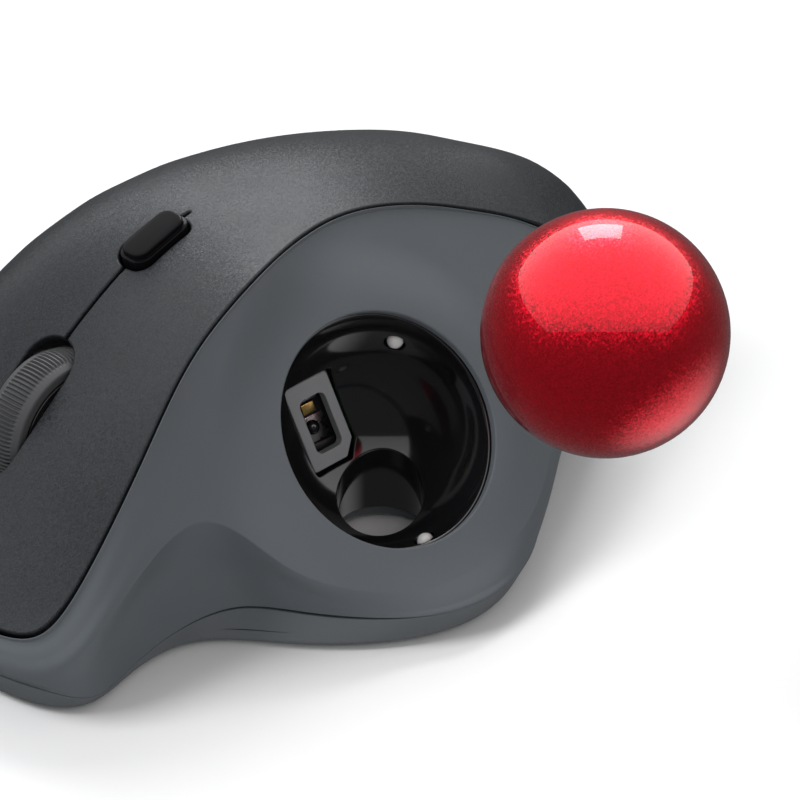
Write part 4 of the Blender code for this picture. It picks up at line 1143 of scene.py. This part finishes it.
SENSOR_AXIS = unit(np.array((-0.9, 0.252, -0.355)))
BEARING_TILT, BEARING_TURNS = math.radians(72), tuple(math.radians(a) for a in (44, -74, 166))
BEARING_RADIUS, BEARING_TIP = 1.25, 17.2
SENSOR_TILT = math.radians(-12.0)
SENSOR_FACE, SENSOR_WALL = 17.4, 1.8
CUP_COLUMNS, CUP_STEP = 160, 0.032  # the step is in the stereographic plan
POCKET_GAP, POCKET_ROUND = 0.3, 0.15
WINDOW_GAP, WINDOW_ROUND = 0.3, 0.2
EJECT_ROUND = 0.25
TUBE_FOOT = 2.9


def sensor_turn():
    across = unit(np.cross((0, 0, 1), SENSOR_AXIS))
    up = np.cross(SENSOR_AXIS, across)
    cos, sin = math.cos(SENSOR_TILT), math.sin(SENSOR_TILT)
    return np.stack([across * cos + up * sin, up * cos - across * sin, SENSOR_AXIS], 1)


SENSOR = sensor_turn()


def sensor_outline(margin, radius):
    """Outline of the sensor panel, with its low corner cut off, grown by a margin."""
    corners = np.array(((3.8, -6.5), (3.8, 7.0), (-3.8, 7.0), (-3.8, -4.1), (-2.0, -6.5)))
    before, after = unit(corners - np.roll(corners, 1, 0)), unit(np.roll(corners, -1, 0) - corners)
    outs = [np.stack([d[:, 1], -d[:, 0]], 1) for d in (before, after)]
    middle = outs[0] + outs[1]
    grown = corners + margin * middle / (middle * outs[0]).sum(1)[:, None]
    outline = []
    for k, corner in enumerate(grown):
        cut = radius * math.tan(math.acos(np.clip(before[k] @ after[k], -1, 1)) / 2)
        start, end = corner - before[k] * cut, corner + after[k] * cut
        outline += [bend(start, corner, end, t) for t in np.linspace(0, 1, 6)]
    return resample_long(np.array(outline), 1.0)


def sensor_place(x, y, z):
    return BALL_SEAT + np.stack([x, y, z], 1) @ SENSOR.T


def bearing_directions():
    found = []
    for turn in BEARING_TURNS:
        flat = FACE_ALONG * math.cos(turn) + FACE_UP * math.sin(turn)
        found.append(flat * math.sin(BEARING_TILT) - SOCKET_AXIS * math.cos(BEARING_TILT))
    return found


def to_plan(directions):
    """Stereographic plan of directions from the ball centre, seen from the mouth."""
    depth = -directions @ SOCKET_AXIS
    return np.stack([directions @ FACE_ALONG, directions @ FACE_UP], 1) / (1 + depth)[:, None]


def from_plan(plan):
    square = (plan**2).sum(1)[:, None]
    flat = 2 * plan / (1 + square)
    depth = (1 - square) / (1 + square)
    return flat[:, :1] * FACE_ALONG + flat[:, 1:] * FACE_UP - depth * SOCKET_AXIS


def turning(loop):
    """Twice the area of a loop in the plan, above zero if it runs counter-clockwise."""
    following = np.roll(loop, -1, 0)
    return (loop[:, 0] * following[:, 1] - following[:, 0] * loop[:, 1]).sum()


def cup_loops(rim_height):
    """Plans of the cup's rim, push-out hole, three bearing pockets and sensor opening."""
    turns = np.arange(CUP_COLUMNS) * 2 * math.pi / CUP_COLUMNS
    rim = math.sqrt(CUP_RADIUS**2 - rim_height**2)
    ring = (rim * (np.cos(turns)[:, None] * FACE_ALONG + np.sin(turns)[:, None] * FACE_UP)
            + rim_height * SOCKET_AXIS) / CUP_RADIUS
    loops = [to_plan(ring)]
    x, y, radius = EJECT_HOLE
    flat = circle((x, y), radius + EJECT_ROUND, 96)[::-1] - BALL_SEAT[:2]
    fall = -np.sqrt(CUP_RADIUS**2 - (flat**2).sum(1))
    loops.append(to_plan(np.concatenate([flat, fall[:, None]], 1) / CUP_RADIUS))
    angle = math.asin((BEARING_RADIUS + POCKET_GAP + POCKET_ROUND) / CUP_RADIUS)
    pocket = circle((0, 0), math.sin(angle), 36)
    for direction in bearing_directions():
        first = unit(np.cross(direction, SOCKET_AXIS))
        second = np.cross(first, direction)
        loops.append(to_plan(direction * math.cos(angle) + pocket[:, :1] * first + pocket[:, 1:] * second))
    opening = sensor_outline(WINDOW_GAP + WINDOW_ROUND, 0.8)
    depth = np.sqrt(CUP_RADIUS**2 - (opening**2).sum(1))
    loops.append(to_plan(np.concatenate([opening, depth[:, None]], 1) @ SENSOR.T / CUP_RADIUS))
    return [loop if (turning(loop) > 0) == (k == 0) else loop[::-1] for k, loop in enumerate(loops)]


def cup_lip(rim, top):
    """Rows from the cup's edge round its lip, which narrows the mouth, to its outer edge."""
    along = unit(rim - BALL_SEAT)
    out = unit(along - (along @ SOCKET_AXIS)[:, None] * SOCKET_AXIS)
    axis = SOCKET_AXIS

    def ring(radius, height):
        return BALL_SEAT + out * radius + axis * height

    lip = [(rim, -out * 0.1 - axis), (ring(LIP_RADIUS + 0.35, top - 0.75), -out * 0.6 - axis),
           (ring(LIP_RADIUS + 0.06, top - 0.6), -out - axis * 0.5), (ring(LIP_RADIUS, top - 0.45), -out),
           (ring(LIP_RADIUS, top - 0.2), -out), (ring(LIP_RADIUS + 0.06, top - 0.06), axis - out),
           (ring(LIP_RADIUS + 0.2, top), axis), (ring(CUP_OUTER, top), axis)]
    return [lip, [(ring(CUP_OUTER, top), out)]]


def push_out_tube(sheet, loop):
    """Rows from the rounded edge of the push-out hole straight down to the base."""
    out = sheet.outward(loop, True)
    rounded = round_rows(sheet.base[loop], sheet.out[loop], out, EJECT_ROUND, EJECT_ROUND)[0][:-1]
    low = rounded[-1][0]
    facing = -unit((low - (*EJECT_HOLE[:2], 0)) * (1, 1, 0))
    drop = low * (1, 1, 0) + (0, 0, TUBE_FOOT)
    return [rounded, [(low, facing), (drop, facing)], [(drop, np.tile(DOWN, (len(drop), 1)))]]


def ball_cup():
    """Gloss cup with its lip, push-out hole, bearing pockets and sensor opening."""
    top = BALL_SEAT_DEPTH - SHELL_LIP - 0.3
    loops = cup_loops(top - 0.9)
    plan = np.concatenate(loops)
    side = np.arange(-1.2, 1.2, CUP_STEP)
    grid = np.array([(a + (k % 2) * CUP_STEP / 2, b) for k, b in enumerate(side) for a in side])
    grid = grid[between(grid, loops[0], loops[1:])]
    grid = grid[distance_to(grid, plan) > CUP_STEP / 2]
    starts, edges = join_loops(loops)
    directions = from_plan(np.concatenate([plan, grid]))
    faces = triangulate(np.concatenate([plan, grid]), edges, lambda c: between(c, loops[0], loops[1:]))
    sheet = Sheet(BALL_SEAT + directions * CUP_RADIUS, -directions, faces, CUP_RADIUS - CUP_OUTER)
    sheet.points[1] = BALL_SEAT + directions * CUP_OUTER
    rim, hole, *pockets, window = (np.arange(*ends) for ends in zip(starts, starts[1:]))
    sheet.skirt(rim, cup_lip(sheet.base[rim], top), joined=False)
    sheet.skirt(hole, push_out_tube(sheet, hole))
    for loop in pockets:
        sheet.round_edge(loop, POCKET_ROUND, CUP_OUTER - CUP_RADIUS)
    sheet.round_edge(window, WINDOW_ROUND, CUP_OUTER - CUP_RADIUS)
    sheet.make("cup_skin", GLOSS, "housing", replaced=["ball_cup"], slot="gloss_black")


def sphere_profile(radius, rows):
    """(radius, height) points of half a circle, from the low pole to the high one."""
    turns = np.linspace(0, math.pi, rows + 1)
    return [(max(radius * math.sin(a), 0.0), -radius * math.cos(a)) for a in turns]


def bearings():
    for number, direction in enumerate(bearing_directions(), 1):
        turned(f"bearing_{number}", sphere_profile(BEARING_RADIUS, 16),
               BALL_SEAT + direction * (BEARING_TIP + BEARING_RADIUS), direction, CERAMIC, "housing", 32,
               replaced=[f"ball_bearing_{number}"], slot="ceramic")


def sensor_panel():
    """Plate with a window, seen from the ball, so its plan is turned over."""
    edge = 0.2
    outer = sensor_outline(-edge, 0.3)
    window = rounded_rectangle(4.4 + 2 * edge, 8.6 + 2 * edge, 1.0 + edge, 6)[::-1]
    spots = np.concatenate([outer, window])
    faces = triangulate(spots, join_loops([outer, window])[1], lambda c: between(c, outer, [window]))
    spots = np.concatenate([spots, np.full((len(spots), 1), SENSOR_FACE)], 1)
    sheet = Sheet(sensor_place(*spots.T), np.tile(-SENSOR_AXIS, (len(spots), 1)), faces[:, ::-1], SENSOR_WALL)
    sheet.round_edge(np.arange(len(outer))[::-1], edge, SENSOR_WALL)
    sheet.round_edge(np.arange(len(outer), len(spots))[::-1], edge, SENSOR_WALL)
    sheet.make("sensor_panel", PANEL, "housing", replaced=["sensor_cover"], slot="panel_grey")


def sensor_inside():
    """Lens, lamp and plates behind the sensor's window."""
    lens = sensor_place(*np.array(((0.3, -0.9, 20.6),)).T)[0]
    turned("lens_ball", sphere_profile(1.15, 24), lens, SENSOR_AXIS, LENS, "housing", 48,
           replaced=["sensor_lens"], slot="lens_clear")
    block("lamp_chip", (-1.2, 1.3, 20.1), (1.0, 2.9, 21.4), GOLD, "housing", SENSOR, BALL_SEAT, 0.12,
          replaced=["sensor_led"], slot="gold")
    for name, low, high, finish, edge, slot in (
            ("lens_plate", (-2.4, -3.4, 21.2), (2.4, 0.6, 21.5), STEEL, 0.1, "steel"),
            ("sensor_bar", (-1.9, 3.3, 19.8), (1.9, 4.0, 20.4), STEEL, 0.15, "steel"),
            ("sensor_step", (-2.6, -4.6, 20.4), (2.6, -3.5, 21.4), DARK, 0.15, "gloss_black"),
            ("sensor_back", (-3.2, -4.8, 21.6), (3.2, 4.8, 22.0), DARK, 0.15, "gloss_black")):
        block(name, low, high, finish, "housing", SENSOR, BALL_SEAT, edge, slot=slot)


def drawn_ball():
    low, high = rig.box("ball_coat")
    centre = np.array((low + high) / 2) / MM + ORIGIN
    turned("ball_skin", sphere_profile(BALL_RADIUS, 72), centre, FACE_ALONG, BALL_RED, "ball_coat", 144, 60,
           replaced=["ball_coat"], slot="ball_clear")


# ---- wheel and button ----

RIBS = 108
RIB_HEIGHT = 0.15
TYRE_LOW = 0.4  # keeps the tyre clear of the left key's edge when the key goes down


def wheel():
    half = WHEEL_WIDTH / 2
    inside_radius = HUB_RADIUS + 0.25
    outer = np.linspace(half - 1.25, half - 0.25, 4)
    offsets = np.concatenate([-outer[::-1], np.linspace(-half + 1.35, half - 1.35, 13), outer])
    crown = [(WHEEL_RADIUS - TYRE_LOW - 0.95 * (abs(x) / half) ** 2.2, x) for x in offsets]
    profile = [(inside_radius, -half), (crown[0][0] - 0.5, -half), (crown[0][0] - 0.1, -half + 0.08)] + crown
    profile += [(crown[-1][0] - 0.1, half - 0.08), (crown[-1][0] - 0.5, half), (inside_radius, half)]

    def ribs(turns, row):
        height = profile[row][1]
        share = smoothstep((half - 1.2 - abs(height)) / 0.25)
        wave = np.cos(turns * RIBS)
        return share * (RIB_HEIGHT - 0.42 * smoothstep(0.5 - wave * 1.1))

    turned("tyre_skin", profile, WHEEL_CENTRE, (1, 0, 0), RUBBER, "wheel", RIBS * 8, 50, ribs,
           replaced=["wheel_tyre"], slot="rubber")
    side = half + 0.2
    bore, rim = 1.8, HUB_RADIUS
    profile = [(bore, -side + 0.5), (bore + 0.3, -side + 0.2), (4.2, -side + 0.2), (4.5, -side + 0.6),
               (rim - 1.3, -side + 0.6), (rim - 1.0, -side + 0.1), (rim - 0.85, -side), (rim - 0.25, -side),
               (rim - 0.07, -side + 0.07), (rim, -side + 0.25)]
    profile = profile + [(r, -h) for r, h in profile[::-1]]
    turned("hub_skin", profile, WHEEL_CENTRE, (1, 0, 0), GLOSS, "wheel", 128, 40,
           replaced=["wheel_hub"], slot="gloss_black")


def dpi_button():
    """Gloss bar with a stepped edge and a flat top."""
    width, length = DPI_SIZE

    def outline(inset):
        return rounded_rectangle(width - 2 * inset, length - 2 * inset, 2.2 - inset * 0.8, 8)

    skirt = [(0, -2.0), (0, 0.15), *rounding(0, 0.35, 0.12), (0.3, 0.5), (0.42, 0.52), (0.46, 0.58)]
    layers = skirt + [(0.46, 1.0), *rounding(0.46, 1.15, 0.28, 5), (1.1, 1.47)]
    # The button takes the shaded copy of gloss black. Its weak reflection paints shade onto the top.
    stacked("dpi_bar", outline, layers, dpi_place, BUTTON_BLACK_SHADED, "dpi_button", 28,
            replaced=["dpi_button"], slot="gloss_black")


# ---- underside ----

def glide_feet():
    feet = (((-30, -52), 9, 5, "front_right"), ((10, -53), 9, 5, "front_left"),
            ((36, 0), 6, 12, "thumb_side"), ((-10, 59), 14, 5, "rear"))
    layers = [(0.5, 0.0), (0.2, 0.03), (0.06, 0.12), (0, 0.25), (0, 0.7)]
    for (x, y), width, length, name in feet:
        def outline(inset, x=x, y=y, width=width, length=length):
            return rounded_rectangle(width - 2 * inset, length - 2 * inset, 2.2 - inset, 8) + (x, y)

        stacked("foot_" + name, outline, layers, flat_place, PTFE, "housing", 50,
                replaced=["glide_foot_" + name], slot="ptfe")


def cross_blade(name, x, y, turn):
    """One tapered blade of a cross recess in a screw's head."""
    along, across = np.array((math.cos(turn), math.sin(turn))), np.array((-math.sin(turn), math.cos(turn)))
    corners = []
    for z, share in ((0.9, 1.0), (1.75, 0.55)):
        for a, b in ((-1, -1), (1, -1), (1, 1), (-1, 1)):
            corners.append((*((x, y) + along * 1.25 * a * share + across * 0.25 * b), z))
    faces = [(0, 3, 2, 1), (4, 5, 6, 7), (0, 1, 5, 4), (1, 2, 6, 5), (2, 3, 7, 6), (3, 0, 4, 7)]
    return free_piece(name, corners, faces)


def screws():
    profile = [(0, 1.0), (1.6, 1.0), (1.95, 1.1), (2.1, 1.3), (2.1, 2.2), (1.0, 2.2), (1.0, 8.5), (0, 8.5)]
    for number, (x, y) in enumerate(SCREWS, 1):
        head = turned(f"screw_{number}", profile, (x, y, 0), (0, 0, 1), STEEL, "housing", 40,
                      replaced=[f"housing_screw_{number}"], slot="steel")
        carve(head, [cross_blade(f"blade_{k}", x, y, math.pi / 4 * k) for k in (1, 3)])


def battery_door():
    stacked("door_skin", lambda inset: rectangle(DOOR_LOW, DOOR_HIGH, 0.8, -DOOR_GAP - inset),
            [(0.3, 1.0), (0.09, 1.09), (0, 1.3), (0, 2.5)], flat_place, BASE, "battery_door", 30,
            replaced=["battery_door"], slot="base_plastic")
    for k in range(7):
        y = 30.0 + k * 1.5
        block(f"door_rib_{k + 1}", (-32.0, y - 0.35, 0.75), (-22.0, y + 0.35, 1.2), BASE, "battery_door",
              edge=0.15, slot="base_plastic")


def underside_controls():
    """The power slider with its ridges, and the dished pairing button."""
    low = (SWITCH_LOW[0] + 0.5, SWITCH_LOW[1] + 0.5, 0.8)
    high = (SWITCH_HIGH[0] - 0.5, SWITCH_LOW[1] + 4.5, 3.5)
    block("slider_body", low, high, GLOSS, "power_slider", replaced=["power_slider"], slot="gloss_black")
    for k in range(4):
        y = low[1] + 0.65 + k * 0.9
        block(f"slider_ridge_{k + 1}", (low[0] + 0.5, y - 0.18, 0.55), (high[0] - 0.5, y + 0.18, 1.0), GLOSS,
              "power_slider", edge=0.1, slot="gloss_black")
    profile = [(0, 1.05), (1.2, 1.02), (1.6, 0.92), (1.8, 0.98), (1.9, 1.15), (1.9, 4.0), (0, 4.0)]
    turned("pairing_cap", profile, (*PAIR_SPOT, 0), (0, 0, 1), GLOSS, "pairing_button", 48,
           replaced=["pairing_button"], slot="gloss_black")


# ---- build, stage and light ----

def finish_rest():
    """Finishes for the CAD nodes that are carried over."""
    looks = {"steel": STEEL, "board": BOARD, "inner_white": NYLON, "battery_wrap": WRAP, "gloss_black": GLOSS,
             "gold": GOLD, "panel_grey": PANEL, "ball_red": BALL_RED, "base_plastic": BASE}
    for node in NODES.values():
        if node.hide_render:
            continue
        held = node.data.materials[0].name.split(".")[0] if node.data.materials else "gloss_black"
        node.data.materials.clear()
        node.data.materials.append(looks.get(held, DARK))
        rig.slot(node, held)


top_cover()
main_shell()
base_tray()
ball_cup()
bearings()
sensor_panel()
sensor_inside()
drawn_ball()
wheel()
dpi_button()
glide_feet()
screws()
battery_door()
underside_controls()
finish_rest()


DESK_HALF, DESK_DROP = 4.0, 0.00005  # metres


def stage():
    """White desk, a hair below the feet."""
    mesh = bpy.data.meshes.new("desk")
    corners = [(DESK_HALF * x, DESK_HALF * y, 0) for x, y in ((-1, -1), (1, -1), (1, 1), (-1, 1))]
    mesh.from_pydata(corners, [], [(0, 1, 2, 3)])
    desk = bpy.data.objects.new("desk", mesh)
    bpy.context.scene.collection.objects.link(desk)
    desk.location.z = -DESK_DROP
    desk.visible_glossy = False
    look = Finish("desk_white")
    look.colour(look.blend(look.spread(look.noise(0.01), 0, 1), (0.74, 0.745, 0.75), (0.77, 0.775, 0.78)))
    look.set(Roughness=0.6)
    mesh.materials.append(look.made)
    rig.stage(desk)


VIEW = (45, 30)  # azimuth and elevation of the camera, in degrees
AZIMUTH = math.radians(VIEW[0])
LENS_LENGTH = 280.26
CAMERA_PLACE = (575.7, -547.6, 478.6)


def area_light(name, size, energy, place, glossy):
    """Soft light that faces the middle of the desk. Those marked not glossy light it without a reflection."""
    lamp = bpy.data.lights.new(name, "AREA")
    lamp.shape, lamp.size, lamp.size_y, lamp.energy = "RECTANGLE", size[0], size[1], energy
    made = bpy.data.objects.new(name, lamp)
    made.location = place
    made.rotation_euler = (-Vector(place)).to_track_quat("-Z", "Y").to_euler()
    made.visible_camera = False
    made.visible_glossy = glossy
    bpy.context.scene.collection.objects.link(made)
    return made


def vary(lamp, measure, output, values, **settings):
    """Lets a lamp's brightness follow what a node measures from the place on its panel."""
    lamp.use_nodes = True
    tree = lamp.node_tree
    kinds = ("NewGeometry", measure, "MapRange")
    spot, measured, ramp = (tree.nodes.new("ShaderNode" + kind) for kind in kinds)
    for key, value in values.items():
        ramp.inputs[key].default_value = value
    for key, value in settings.items():
        setattr(ramp if key == "interpolation_type" else measured, key, value)
    tree.links.new(spot.outputs["Parametric"], measured.inputs[0])
    tree.links.new(measured.outputs[output], ramp.inputs["Value"])
    tree.links.new(ramp.outputs["Result"], tree.nodes["Emission"].inputs["Strength"])
    return measured


def overhead_panel(name, energy, height, near, far, glossy):
    """Wide soft panel over the desk, from one brightness on the camera's side to another on the far side."""
    size, shift = (5.2, 3.8), 0.35
    made = area_light(name, size, energy, (0, 0, height), glossy)
    made.visible_diffuse = not glossy
    made.location = (-math.sin(AZIMUTH) * shift, math.cos(AZIMUTH) * shift, height)
    made.rotation_euler = (0, 0, AZIMUTH)
    vary(made.data, "SeparateXYZ", "Y", {"To Min": near, "To Max": far})


def glow_card(name, size, energy, place):
    """Card that shows only in reflections, bright in the middle and fading to nothing at its edges."""
    made = area_light(name, size, energy, place, True)
    made.visible_diffuse = False
    middle = vary(made.data, "VectorMath", "Value", {"From Min": 0.5, "From Max": 0.05},
                  operation="DISTANCE", interpolation_type="SMOOTHSTEP")
    middle.inputs[1].default_value = (0.5, 0.5, 0.0)


def toward(azimuth, elevation, distance=1.0):
    """Place at an azimuth from -Y toward +X and an elevation, in degrees."""
    a, e = math.radians(azimuth), math.radians(elevation)
    return Vector((math.sin(a) * math.cos(e), -math.cos(a) * math.cos(e), math.sin(e))) * distance


stage()
overhead_panel("overhead_soft", 22.0, 1.0, 1.0, 1.0, False)
overhead_panel("overhead_sheen", 85.0, 0.96, 0.5, 1.8, True)
area_light("back_key", (0.42, 0.42), 5.0, toward(225, 46, 1.1), True)
area_light("side_key", (0.7, 0.7), 16.0, toward(-30, 48, 1.5), False)
area_light("front_fill", (1.76, 1.76), 20.0, toward(60, 28, 2.2), False)
glow_card("floor_glow", (2.2, 2.0), 12.0, toward(134, -51, 1.2))
sky = bpy.data.worlds.new("studio")
bpy.context.scene.world = sky
sky.use_nodes = True
sky.node_tree.nodes["Background"].inputs[0].default_value = (1, 1, 1, 1)
sky.node_tree.nodes["Background"].inputs[1].default_value = 0.12

camera = bpy.data.objects.new("camera", bpy.data.cameras.new("camera"))
camera.data.lens = LENS_LENGTH
camera.data.sensor_width = 36.0
camera.location = Vector(world(CAMERA_PLACE))
camera.rotation_euler = (-toward(*VIEW)).to_track_quat("-Z", "Y").to_euler()
bpy.context.scene.collection.objects.link(camera)
bpy.context.scene.camera = camera
bpy.context.scene.view_settings.view_transform = "Standard"

json.dump({"cad": [list(c) for c in CAD_BOX], "visual": [list(c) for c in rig.bounds()]},
          open("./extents.json", "w"))
